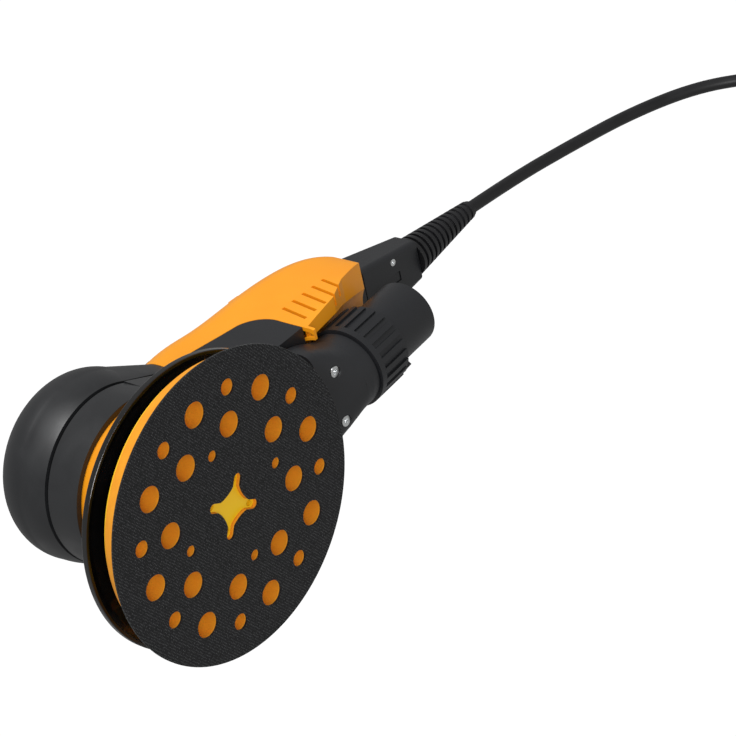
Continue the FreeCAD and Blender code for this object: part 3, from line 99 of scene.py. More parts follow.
def fill(tree: bpy.types.NodeTree, node: bpy.types.Node, inputs: Dict[Union[str, int], Socket]) -> None:
    """Link or fill a node's inputs.

    Args:
        tree: the material's or the world's node tree.
        node: the node.
        inputs: for each input's name or number, a socket to link from or a value.
    """
    for key, value in inputs.items():
        if isinstance(value, bpy.types.NodeSocket):
            tree.links.new(value, node.inputs[key])
        else:
            node.inputs[key].default_value = value


def add_node(tree: bpy.types.NodeTree, kind: str, inputs: Optional[Dict[Union[str, int], Socket]] = None,
             **settings: object) -> bpy.types.Node:
    """Add a node, set its properties, then link or fill its inputs.

    Args:
        tree: the material's or the world's node tree.
        kind: the node's class name.
        inputs: for each input's name or number, a socket to link from or a value.
        settings: the node's own properties.

    Returns:
        The new node.
    """
    node = tree.nodes.new(kind)
    for name, value in settings.items():
        setattr(node, name, value)
    fill(tree, node, inputs or {})
    return node


def per_metre(size_mm: float) -> float:
    """Give the noise or cell scale whose features are this many millimetres across."""
    return 1.0 / (size_mm * MM)


def bands_per_metre(pitch_mm: float) -> float:
    """Give the wave texture's scale whose bands repeat at this pitch in millimetres."""
    return math.pi / (10.0 * pitch_mm * MM)


class Axis(Enum):
    """The direction that a pattern of lines runs across."""

    X = "X"
    Y = "Y"
    Z = "Z"


# --- finishes ------------------------------------------------------------------------------------

@dataclass(frozen=True)
class Finish:
    """A real material and how its surface was made."""

    name: str
    colour: str
    roughness: float

    def material(self) -> bpy.types.Material:
        """Build the material once and hand out the same one after that.

        Returns:
            The material with this finish's colour, roughness and pattern.
        """
        found = bpy.data.materials.get(self.name)
        if found is not None:
            return found
        made = bpy.data.materials.new(self.name)
        made.use_nodes = True
        made.diffuse_color = linear(self.colour)
        shader = made.node_tree.nodes["Principled BSDF"]
        fill(made.node_tree, shader, {"Base Color": linear(self.colour), "Roughness": self.roughness})
        self.pattern(made.node_tree, shader)
        return made

    def pattern(self, tree: bpy.types.NodeTree, shader: bpy.types.Node) -> None:
        """Add what tells this finish from a flat colour."""


@dataclass(frozen=True)
class Moulding(Finish):
    """Injection-moulded plastic from a spark-eroded mould: an even fine grain under a soft gloss."""

    shade_colour: str
    grain_mm: float = 0.45
    grain_depth_mm: float = 0.02
    spread: float = 0.06
    ior: float = 1.5
    flow_mm: float = 34.0

    def pattern(self, tree: bpy.types.NodeTree, shader: bpy.types.Node) -> None:
        """Add the mould's grain and the faint clouding of the melt's flow.

        Args:
            tree: the material's node tree.
            shader: the surface shader.
        """
        place = add_node(tree, "ShaderNodeTexCoord").outputs["Object"]
        flow = add_node(tree, "ShaderNodeTexNoise",
                        {"Vector": place, "Scale": per_metre(self.flow_mm), "Detail": 3.0})
        share = add_node(tree, "ShaderNodeMapRange",
                         {"Value": flow.outputs[0], "From Min": 0.3, "From Max": 0.7})
        colour = add_node(tree, "ShaderNodeMix",
                          {0: share.outputs[0], 6: linear(self.colour), 7: linear(self.shade_colour)},
                          data_type="RGBA")
        grain = add_node(tree, "ShaderNodeTexNoise",
                         {"Vector": place, "Scale": per_metre(self.grain_mm), "Detail": 2.0})
        rough = add_node(tree, "ShaderNodeMapRange",
                         {"Value": grain.outputs[0], "From Min": 0.3, "From Max": 0.7,
                          "To Min": self.roughness - self.spread, "To Max": self.roughness + self.spread})
        bump = add_node(tree, "ShaderNodeBump",
                        {"Strength": 1.0, "Distance": self.grain_depth_mm * MM, "Height": grain.outputs[0]})
        fill(tree, shader, {"IOR": self.ior, "Base Color": colour.outputs[2],
                            "Roughness": rough.outputs[0], "Normal": bump.outputs[0]})


@dataclass(frozen=True)
class HookFabric(Finish):
    """Nylon hook fabric: rows of tiny hooks on a knitted ground, laid across the pad on the bias."""

    tip_glint_colour: str
    pitch_mm: float = 1.25
    cross_pitch_mm: float = 1.0
    hook_mm: float = 0.55
    hook_depth_mm: float = 0.6
    bias_degrees: float = 38.0

    def pattern(self, tree: bpy.types.NodeTree, shader: bpy.types.Node) -> None:
        """Add the rows, the hooks along them and the fuzz of bent tips, whose lighter colour is a painted
        highlight.

        Args:
            tree: the material's node tree.
            shader: the surface shader.
        """
        coordinates = add_node(tree, "ShaderNodeTexCoord")
        place = add_node(tree, "ShaderNodeMapping",
                         {"Vector": coordinates.outputs["Object"],
                          "Rotation": (0.0, 0.0, math.radians(self.bias_degrees))}).outputs["Vector"]
        rows = add_node(tree, "ShaderNodeTexWave",
                        {"Vector": place, "Scale": bands_per_metre(self.pitch_mm), "Distortion": 1.2,
                         "Detail": 1.0, "Detail Scale": 3.0}, bands_direction=Axis.X.value)
        across = add_node(tree, "ShaderNodeTexWave",
                          {"Vector": place, "Scale": bands_per_metre(self.cross_pitch_mm),
                           "Distortion": 2.0, "Detail": 1.0, "Detail Scale": 4.0},
                          bands_direction=Axis.Y.value)
        hooks = add_node(tree, "ShaderNodeTexVoronoi", {"Vector": place, "Scale": per_metre(self.hook_mm)})
        stems = add_node(tree, "ShaderNodeMapRange",
                         {"Value": hooks.outputs["Distance"], "From Max": 0.7, "To Min": 1.0,
                          "To Max": 0.0})
        grid = add_node(tree, "ShaderNodeMath", {0: rows.outputs["Fac"], 1: across.outputs["Fac"]},
                        operation="MULTIPLY")
        tips = add_node(tree, "ShaderNodeMath", {0: grid.outputs[0], 1: stems.outputs[0]},
                        operation="MULTIPLY")
        # Painted highlight: the hook tips are lightened towards the tip colour.
        share = add_node(tree, "ShaderNodeMapRange",
                         {"Value": tips.outputs[0], "From Min": 0.05, "From Max": 0.6, "To Max": 0.85})
        colour = add_node(tree, "ShaderNodeMix",
                          {0: share.outputs[0], 6: linear(self.colour), 7: linear(self.tip_glint_colour)},
                          data_type="RGBA")
        bump = add_node(tree, "ShaderNodeBump",
                        {"Strength": 1.0, "Distance": self.hook_depth_mm * MM, "Height": tips.outputs[0]})
        fill(tree, shader, {"Sheen Weight": 0.12, "Sheen Roughness": 0.4,
                            "Base Color": colour.outputs[2], "Normal": bump.outputs[0]})


@dataclass(frozen=True)
class Foam(Finish):
    """Moulded polyurethane foam: matt, with a skin of fine closed pores."""

    pore_shade_and_tone_colour: str
    pore_mm: float = 0.7
    pore_depth_mm: float = 0.12
    cloud_mm: float = 9.0

    def pattern(self, tree: bpy.types.NodeTree, shader: bpy.types.Node) -> None:
        """Add the pores, each darkened with painted shade, and the slow change of tone along the edge.

        Args:
            tree: the material's node tree.
            shader: the surface shader.
        """
        place = add_node(tree, "ShaderNodeTexCoord").outputs["Object"]
        pores = add_node(tree, "ShaderNodeTexVoronoi", {"Vector": place, "Scale": per_metre(self.pore_mm)})
        clouds = add_node(tree, "ShaderNodeTexNoise",
                          {"Vector": place, "Scale": per_metre(self.cloud_mm), "Detail": 4.0})
        # Painted shade: each pore is darkened around its centre.
        painted_pore_shade = add_node(tree, "ShaderNodeMapRange",
                        {"Value": pores.outputs["Distance"], "From Max": 0.45, "To Min": 0.5,
                         "To Max": 0.0})
        tone = add_node(tree, "ShaderNodeMapRange",
                        {"Value": clouds.outputs[0], "From Min": 0.35, "From Max": 0.75, "To Max": 0.45})
        share = add_node(tree, "ShaderNodeMath", {0: painted_pore_shade.outputs[0], 1: tone.outputs[0]},
                         operation="ADD")
        colour = add_node(tree, "ShaderNodeMix",
                          {0: share.outputs[0], 6: linear(self.colour), 7: linear(self.pore_shade_and_tone_colour)},
                          data_type="RGBA")
        bump = add_node(tree, "ShaderNodeBump",
                        {"Strength": 1.0, "Distance": self.pore_depth_mm * MM,
                         "Height": pores.outputs["Distance"]})
        fill(tree, shader, {"Base Color": colour.outputs[2], "Normal": bump.outputs[0]})


@dataclass(frozen=True)
class Elastomer(Finish):
    """Moulded elastomer: from a soft matt grip to a glossy lip, with handling marks in its sheen."""

    dust_colour: str
    coat: float = 0.0
    grain_mm: float = 0.6
    grain_depth_mm: float = 0.015
    smear: float = 0.08
    ior: float = 1.52
    wipe_mm: float = 22.0

    def pattern(self, tree: bpy.types.NodeTree, shader: bpy.types.Node) -> None:
        """Add the fine grain, the wiped look and, where it is glossy, a clear skin.

        Args:
            tree: the material's node tree.
            shader: the surface shader.
        """
        place = add_node(tree, "ShaderNodeTexCoord").outputs["Object"]
        wipes = add_node(tree, "ShaderNodeTexNoise",
                         {"Vector": place, "Scale": per_metre(self.wipe_mm), "Detail": 5.0,
                          "Distortion": 0.6})
        share = add_node(tree, "ShaderNodeMapRange",
                         {"Value": wipes.outputs[0], "From Min": 0.42, "From Max": 0.75})
        colour = add_node(tree, "ShaderNodeMix",
                          {0: share.outputs[0], 6: linear(self.colour), 7: linear(self.dust_colour)},
                          data_type="RGBA")
        rough = add_node(tree, "ShaderNodeMapRange",
                         {"Value": wipes.outputs[0], "From Min": 0.3, "From Max": 0.7,
                          "To Min": self.roughness - self.smear, "To Max": self.roughness + self.smear})
        grain = add_node(tree, "ShaderNodeTexNoise",
                         {"Vector": place, "Scale": per_metre(self.grain_mm), "Detail": 1.0})
        bump = add_node(tree, "ShaderNodeBump",
                        {"Strength": 1.0, "Distance": self.grain_depth_mm * MM, "Height": grain.outputs[0]})
        fill(tree, shader, {"IOR": self.ior, "Coat Weight": self.coat, "Coat Roughness": 0.08,
                            "Base Color": colour.outputs[2], "Roughness": rough.outputs[0],
                            "Normal": bump.outputs[0]})


@dataclass(frozen=True)
class WorkedMetal(Finish):
    """Bare metal as its tool left it: fine parallel marks across one axis and a little staining."""

    mark_mm: float = 0.5
    across: Axis = Axis.Z
    mark_depth_mm: float = 0.006
    stain_colour: str = "#8A8A8C"
    stain_mm: float = 11.0

    def pattern(self, tree: bpy.types.NodeTree, shader: bpy.types.Node) -> None:
        """Add the tool marks and the stains.

        Args:
            tree: the material's node tree.
            shader: the surface shader.
        """
        place = add_node(tree, "ShaderNodeTexCoord").outputs["Object"]
        stains = add_node(tree, "ShaderNodeTexNoise",
                          {"Vector": place, "Scale": per_metre(self.stain_mm), "Detail": 4.0})
        share = add_node(tree, "ShaderNodeMapRange",
                         {"Value": stains.outputs[0], "From Min": 0.45, "From Max": 0.8, "To Max": 0.6})
        colour = add_node(tree, "ShaderNodeMix",
                          {0: share.outputs[0], 6: linear(self.colour), 7: linear(self.stain_colour)},
                          data_type="RGBA")
        marks = add_node(tree, "ShaderNodeTexWave",
                         {"Vector": place, "Scale": bands_per_metre(self.mark_mm), "Distortion": 0.4,
                          "Detail": 2.0, "Detail Scale": 2.0}, bands_direction=self.across.value)
        rough = add_node(tree, "ShaderNodeMapRange",
                         {"Value": marks.outputs["Fac"], "To Min": self.roughness - 0.05,
                          "To Max": self.roughness + 0.07})
        bump = add_node(tree, "ShaderNodeBump",
                        {"Strength": 1.0, "Distance": self.mark_depth_mm * MM,
                         "Height": marks.outputs["Fac"]})
        fill(tree, shader, {"Metallic": 1.0, "Base Color": colour.outputs[2],
                            "Roughness": rough.outputs[0], "Normal": bump.outputs[0]})


@dataclass(frozen=True)
class CastMetal(Finish):
    """Pressure-cast aluminium: a cold pebbled skin, duller than a cut face."""

    flow_colour: str = "#77797C"
    flow_mm: float = 16.0
    pebble_mm: float = 1.1
    pebble_depth_mm: float = 0.03

    def pattern(self, tree: bpy.types.NodeTree, shader: bpy.types.Node) -> None:
        """Add the pebbled skin and the darker flow marks.

        Args:
            tree: the material's node tree.
            shader: the surface shader.
        """
        place = add_node(tree, "ShaderNodeTexCoord").outputs["Object"]
        pebbles = add_node(tree, "ShaderNodeTexVoronoi",
                           {"Vector": place, "Scale": per_metre(self.pebble_mm)})
        flow = add_node(tree, "ShaderNodeTexNoise",
                        {"Vector": place, "Scale": per_metre(self.flow_mm), "Detail": 5.0})
        share = add_node(tree, "ShaderNodeMapRange",
                         {"Value": flow.outputs[0], "From Min": 0.4, "From Max": 0.8, "To Max": 0.7})
        colour = add_node(tree, "ShaderNodeMix",
                          {0: share.outputs[0], 6: linear(self.colour), 7: linear(self.flow_colour)},
                          data_type="RGBA")
        bump = add_node(tree, "ShaderNodeBump",
                        {"Strength": 1.0, "Distance": self.pebble_depth_mm * MM,
                         "Height": pebbles.outputs["Distance"]})
        fill(tree, shader, {"Metallic": 1.0, "Base Color": colour.outputs[2],
                            "Normal": bump.outputs[0]})


@dataclass(frozen=True)
class Winding(Finish):
    """Enamelled copper wire laid turn beside turn: glossy amber ridges with painted shade in the gaps
    between them.
    """

    gap_shade_colour: str = "#3A1408"
    wire_mm: float = 0.9
    gap_depth_mm: float = 0.35

    def pattern(self, tree: bpy.types.NodeTree, shader: bpy.types.Node) -> None:
        """Add the turns, painted shade in the gaps between them, and the varnish over them.

        Args:
            tree: the material's node tree.
            shader: the surface shader.
        """
        place = add_node(tree, "ShaderNodeTexCoord").outputs["Object"]
        turns = add_node(tree, "ShaderNodeTexWave",
                         {"Vector": place, "Scale": bands_per_metre(self.wire_mm), "Distortion": 0.8,
                          "Detail": 2.0}, bands_direction=Axis.Z.value)
        # Painted shade: the gaps between turns are darkened.
        share = add_node(tree, "ShaderNodeMapRange",
                         {"Value": turns.outputs["Fac"], "From Max": 0.4, "To Min": 0.9, "To Max": 0.0})
        colour = add_node(tree, "ShaderNodeMix",
                          {0: share.outputs[0], 6: linear(self.colour), 7: linear(self.gap_shade_colour)},
                          data_type="RGBA")
        bump = add_node(tree, "ShaderNodeBump",
                        {"Strength": 1.0, "Distance": self.gap_depth_mm * MM,
                         "Height": turns.outputs["Fac"]})
        fill(tree, shader, {"Metallic": 0.85, "Coat Weight": 0.6, "Coat Roughness": 0.15,
                            "Base Color": colour.outputs[2], "Normal": bump.outputs[0]})


@dataclass(frozen=True)
class CircuitBoard(Finish):
    """Glass-fibre board under green solder mask: raised copper tracks show as lighter lines."""

    track_colour: str = "#3E8C4A"
    track_mm: float = 1.8
    track_depth_mm: float = 0.05

    def pattern(self, tree: bpy.types.NodeTree, shader: bpy.types.Node) -> None:
        """Add the tracks under the mask.

        Args:
            tree: the material's node tree.
            shader: the surface shader.
        """
        place = add_node(tree, "ShaderNodeTexCoord").outputs["Object"]
        tracks = add_node(tree, "ShaderNodeTexBrick",
                          {"Vector": place, "Scale": per_metre(self.track_mm * 4), "Mortar Size": 0.05,
                           "Color1": (0.0, 0.0, 0.0, 1.0), "Color2": (0.15, 0.15, 0.15, 1.0),
                           "Mortar": (1.0, 1.0, 1.0, 1.0)})
        share = add_node(tree, "ShaderNodeMapRange", {"Value": tracks.outputs["Color"], "To Max": 0.9})
        colour = add_node(tree, "ShaderNodeMix",
                          {0: share.outputs[0], 6: linear(self.colour), 7: linear(self.track_colour)},
                          data_type="RGBA")
        bump = add_node(tree, "ShaderNodeBump",
                        {"Strength": 1.0, "Distance": self.track_depth_mm * MM,
                         "Height": tracks.outputs["Color"]})
        fill(tree, shader, {"Coat Weight": 0.4, "Base Color": colour.outputs[2],
                            "Normal": bump.outputs[0]})


@dataclass(frozen=True)
class ClearLens(Finish):
    """Moulded clear lens over a lamp: tinted, smooth, faintly frosted inside."""

    frost_colour: str = "#BFF3C4"
    frost_mm: float = 0.4

    def pattern(self, tree: bpy.types.NodeTree, shader: bpy.types.Node) -> None:
        """Let light through and add the frosting.

        Args:
            tree: the material's node tree.
            shader: the surface shader.
        """
        place = add_node(tree, "ShaderNodeTexCoord").outputs["Object"]
        frost = add_node(tree, "ShaderNodeTexNoise", {"Vector": place, "Scale": per_metre(self.frost_mm)})
        rough = add_node(tree, "ShaderNodeMapRange",
                         {"Value": frost.outputs[0], "To Min": self.roughness,
                          "To Max": self.roughness + 0.15})
        share = add_node(tree, "ShaderNodeMapRange", {"Value": frost.outputs[0], "To Max": 0.5})
        colour = add_node(tree, "ShaderNodeMix",
                          {0: share.outputs[0], 6: linear(self.colour), 7: linear(self.frost_colour)},
                          data_type="RGBA")
        fill(tree, shader, {"IOR": 1.49, "Transmission Weight": 0.5, "Base Color": colour.outputs[2],
                            "Roughness": rough.outputs[0]})


# Elastomers: the grip takes light broadly and reads as dark grey, the lip mirrors the room, and the
# seal, the keys and the cord's sheath stay dull.
GRIP = Elastomer("tpe_soft_touch_moulded", "#1D1E20", 0.46, "#242527")
LIP = Elastomer("epdm_gloss_lip_moulded", "#060607", 0.24, "#0B0B0D", coat=0.35, smear=0.05)
SEAL = Elastomer("nitrile_matt_moulded", "#151516", 0.7, "#222224")
SHEATH = Elastomer("rubber_cord_sheath_extruded", "#0F0F11", 0.4, "#17171A", grain_mm=0.8)
KEY = Elastomer("silicone_key_moulded", "#3A3B3F", 0.55, "#45464A")
# Mouldings: an even grain breaks up the gloss, so flat faces keep a soft, wide highlight.
BRIGHT = Moulding("abs_orange_spark_grain", "#FDA416", 0.42, "#FA9C0E")
STAR = Moulding("nylon_yellow_moulded", "#FFD21E", 0.4, "#FFC614", grain_mm=0.8)
DARK = Moulding("nylon_black_spark_grain", "#1C1D20", 0.42, "#222326", grain_mm=0.5,
                grain_depth_mm=0.03)
POWER = Moulding("abs_red_key_moulded", "#B9280F", 0.35, "#A9210B")
SLEEVE = Moulding("pvc_shrink_sleeve", "#23304F", 0.3, "#1C2743")
# Fabric and foam give back hardly any gloss. The lighter hook tips are a painted highlight.
HOOKS = HookFabric("nylon_hook_fabric_woven", "#0B0C0E", 0.95, "#3E4146")
FOAM = Foam("polyurethane_foam_moulded", "#FFAA1E", 0.92, "#EE8C0E")
# Metals: the tool marks draw the highlight out across them.
STEEL = WorkedMetal("steel_turned_ground", "#C9CACC", 0.24)
LAMINATE = WorkedMetal("electrical_steel_stacked", "#7C7D80", 0.38, mark_mm=1.0, mark_depth_mm=0.08)
NICKEL = WorkedMetal("nickel_plated_magnet", "#B7B2A8", 0.2, mark_mm=2.0, stain_colour="#9A948A")
ZINC = WorkedMetal("zinc_plated_screw", "#EDEFF0", 0.3, mark_mm=0.35, across=Axis.X,
                   stain_colour="#C9CBCE")
BRASS = WorkedMetal("brass_plated_pin", "#D9B25A", 0.2, mark_mm=0.5, stain_colour="#A8823A")
CAST = CastMetal("aluminium_pressure_cast", "#B9BBBE", 0.42)
# Varnish, solder mask and lens have a clear skin over their colour.
COPPER = Winding("copper_enamelled_wound", "#B5622B", 0.3)
BOARD = CircuitBoard("glass_fibre_solder_mask", "#0E4420", 0.4)
LENS = ClearLens("acrylic_lens_moulded", "#4FD45F", 0.1)


# --- shared building steps -----------------------------------------------------------------------

@dataclass
class Assembly:
    """A group of pieces that is made and dressed together."""

    frame: dict

    def dress(self, node: str, finish: Finish, edge_mm: float = 0.0) -> None:
        """Give a CAD piece its finish and, if asked, softly rounded edges.

        Args:
            node: the piece's name.
            finish: its finish.
            edge_mm: how wide the rounding of its sharp edges is.
        """
        piece = self.frame["nodes"][node]
        for slot in piece.material_slots:
            slot.material = finish.material()
        if edge_mm > 0:
            soften(piece, edge_mm)
        log.info("dressed %s in %s", node, finish.name)

    def add(self, piece: bpy.types.Object, body: str, slot: str, finish: Finish,
            nodes: Sequence[str] = ()) -> bpy.types.Object:
        """Put a new piece in the scene on its body.

        Args:
            piece: the new object.
            body: the body that it moves with.
            slot: the material slot of the record that it stands for; not used.
            finish: its finish.
            nodes: the CAD pieces that it replaces.

        Returns:
            The same object.
        """
        bpy.context.scene.collection.objects.link(piece)
        piece.data.materials.append(finish.material())
        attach(piece, body)
        if nodes:
            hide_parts(*nodes)
        log.info("made %s for %s", piece.name, ", ".join(nodes) or body)
        return piece


def soften(piece: bpy.types.Object, width_mm: float) -> None:
    """Round a piece's sharp edges as its mould or its tool would.

    Args:
        piece: the object.
        width_mm: the rounding's width.
    """
    piece.modifiers.new("joined", "WELD").merge_threshold = JOIN_DISTANCE
    bevel = piece.modifiers.new("rounded", "BEVEL")
    bevel.width = width_mm * MM
    bevel.segments = ROUNDING_SEGMENTS
    bevel.limit_method = "ANGLE"
    bevel.angle_limit = math.radians(SHARP_EDGE_DEGREES)
    bevel.use_clamp_overlap = True
    bevel.miter_outer = "MITER_ARC"
    normals = piece.modifiers.new("shaded", "WEIGHTED_NORMAL")
    normals.keep_sharp = True


# --- the sanding pad -----------------------------------------------------------------------------

@dataclass
class SandingPad(Assembly):
    """The pad that spins under the head: hook face, foam and carrier."""

    def build(self) -> None:
        """Dress the pad's layers and its spindle."""
        self.dress("pad_hook_face", HOOKS, 0.25)
        self.dress("pad_foam", FOAM, 0.5)
        self.dress("pad_backplate", STAR, 0.3)
        self.dress("pad_stud", STEEL)
        self.dress("pad_spindle", STEEL)


# --- the drive -----------------------------------------------------------------------------------

@dataclass
class Drive(Assembly):
    """The turning parts and the motor round them."""

    def build(self) -> None:
        """Dress the rotor, its bearings and the stator."""
        for node in ("pad_bearing", "motor_shaft", "upper_bearing", "lower_bearing", "counterweight"):
            self.dress(node, STEEL)
        for node in ("eccentric_hub", "bearing_bridge"):
            self.dress(node, CAST)
        for node in ("rotor_core", "stator_core"):
            self.dress(node, LAMINATE)
        self.dress("dust_fan", DARK)
        self.dress("rotor_magnets", NICKEL)
        self.dress("stator_windings", COPPER)
        self.dress("sensor_board", BOARD)
        self.dress("bridge_screws", ZINC)


# --- the head ------------------------------------------------------------------------------------

@dataclass
class Head(Assembly):
    """The drum round the motor: housing, shroud, seal, grip, ring and cap."""

    def build(self) -> None:
        """Dress the head's covers."""
        self.dress("main_housing", BRIGHT, 0.5)
        self.dress("dust_shroud", LIP, 0.4)
        self.dress("brake_seal", SEAL, 0.3)
        self.dress("head_grip", GRIP, 0.6)
        self.dress("cap_ring", DARK)
        self.dress("head_cap", GRIP, 0.5)
        self.dress("cap_screws", ZINC)


# --- the handle ----------------------------------------------------------------------------------

@dataclass
class Handle(Assembly):
    """The two bright shells, the dark belly, and the collar at the rear."""

    def build(self) -> None:
        """Dress the handle's outer pieces and what is inside them."""
        self.dress("handle_shell_left", BRIGHT, 0.5)
        self.dress("handle_shell_right", BRIGHT, 0.5)
        self.dress("handle_belly", DARK, 0.5)
        self.dress("shell_screws", ZINC)
        self.dress("end_collar", DARK, 0.4)
        self.dress("control_board", BOARD)
        self.dress("capacitors", SLEEVE, 0.4)
        self.dress("heat_sink", CAST)


# --- the dust outlet -----------------------------------------------------------------------------

@dataclass
class DustOutlet(Assembly):
    """The duct, its cover under the handle, and the swivelling hose end."""

    def build(self) -> None:
        """Dress the outlet's pieces."""
        self.dress("dust_duct", DARK)
        self.dress("duct_cover", DARK, 0.5)
        self.dress("duct_screws", ZINC, 0.2)
        self.dress("hose_spigot", DARK, 0.4)
        self.dress("hose_collar", DARK, 0.4)


# --- the controls --------------------------------------------------------------------------------

@dataclass
class Controls(Assembly):
    """The paddle lever with its pin and spring, the keys and the lamp."""

    spring_radius: float = 3.0 * MM
    spring_wire: float = 0.35 * MM
    spring_turns: int = 5
    spring_foot: Point = (0.07236, 0.0, 0.10123)
    spring_top: float = 0.11041
    spring_least: float = 0.7
    points_per_turn: int = 16

    def spring(self) -> bpy.types.Object:
        """Wind the lever's return spring as one round wire.

        Returns:
            The spring as a mesh object; the real spring shortens as the lever goes down.
        """
        curve = bpy.data.curves.new("lever_return_spring", "CURVE")
        curve.dimensions = "3D"
        curve.bevel_depth = self.spring_wire
        curve.bevel_resolution = 3
        curve.use_fill_caps = True
        steps = self.spring_turns * self.points_per_turn
        low, high = self.spring_foot[2] + self.spring_wire, self.spring_top - self.spring_wire
        spline = curve.splines.new("NURBS")
        spline.points.add(steps)
        for index in range(steps + 1):
            angle = 2 * math.pi * index / self.points_per_turn
            # The end turns lie flat, so the climb starts and stops softly.
            share = index / steps
            climb = share * share * (3 - 2 * share)
            spline.points[index].co = (self.spring_foot[0] + self.spring_radius * math.cos(angle),
                                       self.spring_radius * math.sin(angle),
                                       low + (high - low) * climb, 1.0)
        spline.order_u = 3
        spline.use_endpoint_u = True
        wire = bpy.data.objects.new("spring_wire", curve)
        mesh = bpy.data.meshes.new_from_object(wire)
        bpy.data.objects.remove(wire)
        mesh.shade_smooth()
        return bpy.data.objects.new("lever_return_spring", mesh)

    def build(self) -> None:
        """Dress the controls and wind the spring."""
        self.dress("paddle_lever", DARK, 0.5)
        self.dress("lever_pin", STEEL)
        spring = self.add(self.spring(), "housing", "steel", STEEL, ["lever_spring"])
        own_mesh(spring)
        self.dress("button_panel", DARK, 0.2)
        self.dress("status_lamp", LENS, 0.15)
        self.dress("power_button", POWER)
        self.dress("speed_up_button", KEY)
        self.dress("speed_down_button", KEY)
        self.dress("button_board", BOARD)
        self.dress("micro_switch", DARK, 0.3)


# --- the mains lead ------------------------------------------------------------------------------

@dataclass
class MainsLead(Assembly):
    """The detachable lead: connector, latch, strain relief, cord, coil and plug."""

    cord_radius: float = 3.5 * MM
    # What is seen and what is coiled make up a four-metre lead.
    cord_length: float = 4.0
    # The routes run from the strain relief to the coil, and from the coil to the plug.
    lead_route: Sequence[Point] = (
        (0.2729, 0.0, 0.0757), (0.3084, 0.0, 0.0734), (0.3504, 0.0, 0.0664), (0.3984, 0.0, 0.056),
        (0.4404, 0.001, 0.0388), (0.4644, 0.0025, 0.0119), (0.5004, 0.005, 0.0035),
        (0.5384, 0.008, 0.0035), (0.5814, 0.0085, 0.0035))
    tail_route: Sequence[Point] = (
        (0.6124, 0.0085, 0.0225), (0.6384, 0.006, 0.007), (0.6644, 0.0, 0.0084),
        (0.6904, -0.009, 0.0084))
    coil_centre: Tuple[float, float] = (0.5814, -0.042)
    coil_radius: float = 50.5 * MM
    # Each entry is a turn number, then the radius steps inward and the layer from there on.
    coil_plan: Sequence[Tuple[float, int, int]] = (
        (0.0, 0, 0), (1.0, 1, 0), (2.0, 2, 0), (3.0, 3, 0), (3 + 5 / 6, 3, 1),
        (4 + 4 / 6, 2, 1), (5 + 4 / 6, 1, 1), (6 + 4 / 6, 0, 1), (7 + 3 / 6, 0, 2),
        (8 + 2 / 6, 1, 2), (9 + 2 / 6, 2, 2), (10 + 2 / 6, 3, 2), (11 + 1 / 6, 3, 3),
        (12.0, 2, 3), (13.0, 1, 3), (14.0, 0, 3))
    points_per_turn: int = 24
    change: float = 1 / 6

    def coil_points(self) -> List[Point]:
        """Lay the put-away length in four neat layers, each turn beside the last.

        Returns:
            The coil's points after the one where the lead meets it.
        """
        points = []
        step = 2 * self.cord_radius
        # A smooth curve runs a little inside its points, so they stand that much further out.
        inside = 0.75 + 0.25 * math.cos(2 * math.pi / self.points_per_turn)
        last = self.coil_plan[-1][0]
        for index in range(1, round(last * self.points_per_turn) + 1):
            turn = index / self.points_per_turn
            radius, height = 0.0, 0.0
            for (_, steps, layer), following in zip(self.coil_plan, self.coil_plan[1:]):
                start = following[0] - self.change
                if turn <= following[0]:
                    share = max(0.0, (turn - start) / self.change)
                    ease = share * share * (3 - 2 * share)
                    radius = self.coil_radius - step * (steps + (following[1] - steps) * ease)
                    height = self.cord_radius + step * (layer + (following[2] - layer) * ease)
                    break
            angle = math.pi / 2 - 2 * math.pi * turn
            points.append((self.coil_centre[0] + radius / inside * math.cos(angle),
                           self.coil_centre[1] + radius / inside * math.sin(angle), height))
        return points

    def cord(self) -> bpy.types.Object:
        """Run one smooth spline from the strain relief through the coil to the plug.

        Returns:
            The cord as a curve object.
        """
        curve = bpy.data.curves.new("mains_cord", "CURVE")
        curve.dimensions = "3D"
        curve.bevel_depth = self.cord_radius
        curve.bevel_resolution = 5
        curve.resolution_u = 8
        curve.use_fill_caps = True
        points = list(self.lead_route) + self.coil_points() + list(self.tail_route)
        spline = curve.splines.new("NURBS")
        spline.points.add(len(points) - 1)
        for spot, point in zip(spline.points, points):
            spot.co = (*point, 1.0)
        spline.order_u = 3
        spline.use_endpoint_u = True
        return bpy.data.objects.new("mains_cord", curve)

    def build(self) -> None:
        """Dress the connector and the plug, and run the cord between them."""
        self.dress("mains_socket", DARK)
        self.dress("socket_contacts", BRASS)
        self.dress("connector_block", DARK, 0.5)
        self.dress("latch", DARK, 0.3)
        self.dress("connector_screw", ZINC)
        self.dress("strain_relief", SHEATH, 0.4)
        self.dress("plug_body", SHEATH, 0.6)
        self.dress("plug_pins", BRASS)
        cord = self.add(self.cord(), "housing", "cord_black", SHEATH,
                        ["cord_lead", "cord_coil", "cord_tail"])


# --- camera, light and floor ---------------------------------------------------------------------

@dataclass(frozen=True)
class SoftLight:
    """A square soft light, placed from the target along the camera's own directions in metres."""

    name: str
    right: float
    up: float
    back: float
    size: float
    power: float


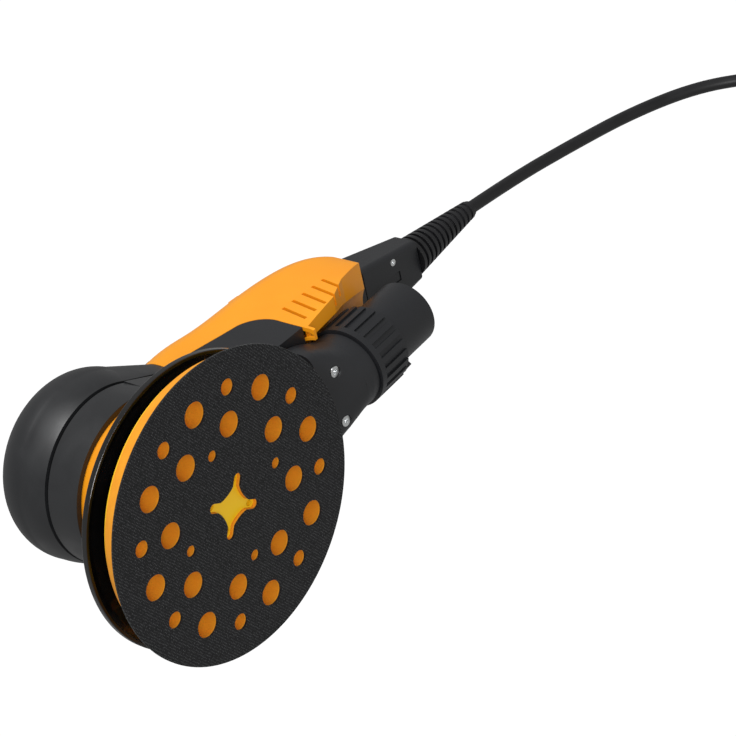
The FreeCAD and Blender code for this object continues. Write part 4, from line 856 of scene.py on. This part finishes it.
@dataclass
class Studio:
    """A plain pale room with soft light, seen from below and in front of the pad."""

    camera_place: Point = (-0.60465, -0.60931, -0.7372)
    camera_right: Point = (0.6306, 0.1862, -0.7534)
    camera_up: Point = (0.4942, -0.8449, 0.2048)
    camera_back: Point = (-0.5984, -0.5015, -0.6248)
    lens: float = 122.3
    sensor: float = 36.0
    nearest: float = 0.01
    farthest: float = 50.0
    target: Point = (0.06, 0.0, 0.06)
    floor_height: float = -2.5
    floor_half: float = 8.0
    floor_cells: int = 8
    ambient: float = 0.36
    backdrop: float = 1.05
    lights: Sequence[SoftLight] = (
        SoftLight("key_light", right=-0.75, up=1.1, back=1.15, size=0.7, power=23.0),
        SoftLight("front_light", right=0.25, up=-0.15, back=1.7, size=0.6, power=12.0))

    def axes(self) -> Matrix:
        """Give the camera's turn as a matrix."""
        return Matrix((self.camera_right, self.camera_up, self.camera_back)).transposed()

    def camera(self) -> None:
        """Set the camera at its viewing angle."""
        data = bpy.data.cameras.new("studio_camera")
        data.lens = self.lens
        data.sensor_width = self.sensor
        data.clip_start = self.nearest
        data.clip_end = self.farthest
        camera = bpy.data.objects.new("studio_camera", data)
        camera.matrix_world = Matrix.Translation(self.camera_place) @ self.axes().to_4x4()
        bpy.context.scene.collection.objects.link(camera)
        bpy.context.scene.camera = camera

    def hang(self, light: SoftLight) -> None:
        """Hang a soft light so that it faces the target.

        Args:
            light: its place, size and power.
        """
        data = bpy.data.lights.new(light.name, "AREA")
        data.shape = "SQUARE"
        data.size = light.size
        data.energy = light.power
        lamp = bpy.data.objects.new(light.name, data)
        target = Vector(self.target)
        place = target + self.axes() @ Vector((light.right, light.up, light.back))
        turn = (place - target).to_track_quat("Z", "Y").to_matrix().to_4x4()
        lamp.matrix_world = Matrix.Translation(place) @ turn
        bpy.context.scene.collection.objects.link(lamp)

    def floor(self) -> None:
        """Lay a pale matt floor well below."""
        mesh = bpy.data.meshes.new("studio_floor")
        form = bmesh.new()
        bmesh.ops.create_grid(form, x_segments=self.floor_cells, y_segments=self.floor_cells,
                              size=self.floor_half)
        form.to_mesh(mesh)
        form.free()
        floor = bpy.data.objects.new("studio_floor", mesh)
        floor.location = (0.0, 0.0, self.floor_height)
        mesh.materials.append(Moulding("matt_paper_floor", "#F4F4F2", 0.9, "#F1F1EF").material())
        bpy.context.scene.collection.objects.link(floor)

    def world(self) -> None:
        """Make the room white to the eye and softer where it lights the object."""
        world = bpy.data.worlds.new("pale_room")
        world.use_nodes = True
        tree = world.node_tree
        path = add_node(tree, "ShaderNodeLightPath")
        strength = add_node(tree, "ShaderNodeMapRange",
                            {"Value": path.outputs["Is Camera Ray"], "To Min": self.ambient,
                             "To Max": self.backdrop})
        background = tree.nodes["Background"]
        background.inputs["Color"].default_value = (1.0, 1.0, 1.0, 1.0)
        tree.links.new(strength.outputs["Result"], background.inputs["Strength"])
        bpy.context.scene.world = world
        bpy.context.scene.view_settings.view_transform = "Standard"

    def build(self) -> None:
        """Set the camera, the light and the floor."""
        self.camera()
        self.world()
        self.floor()
        for light in self.lights:
            self.hang(light)
        log.info("studio is set")


def main() -> None:
    """Load the frame, set the studio, and build every part of the sander."""
    logging.basicConfig(level=logging.INFO, format="%(name)s: %(message)s")
    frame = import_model()
    Studio().build()
    for assembly in (MainsLead, SandingPad, Drive, Head, Handle, DustOutlet, Controls):
        assembly(frame).build()


if __name__ == "__main__":
    main()
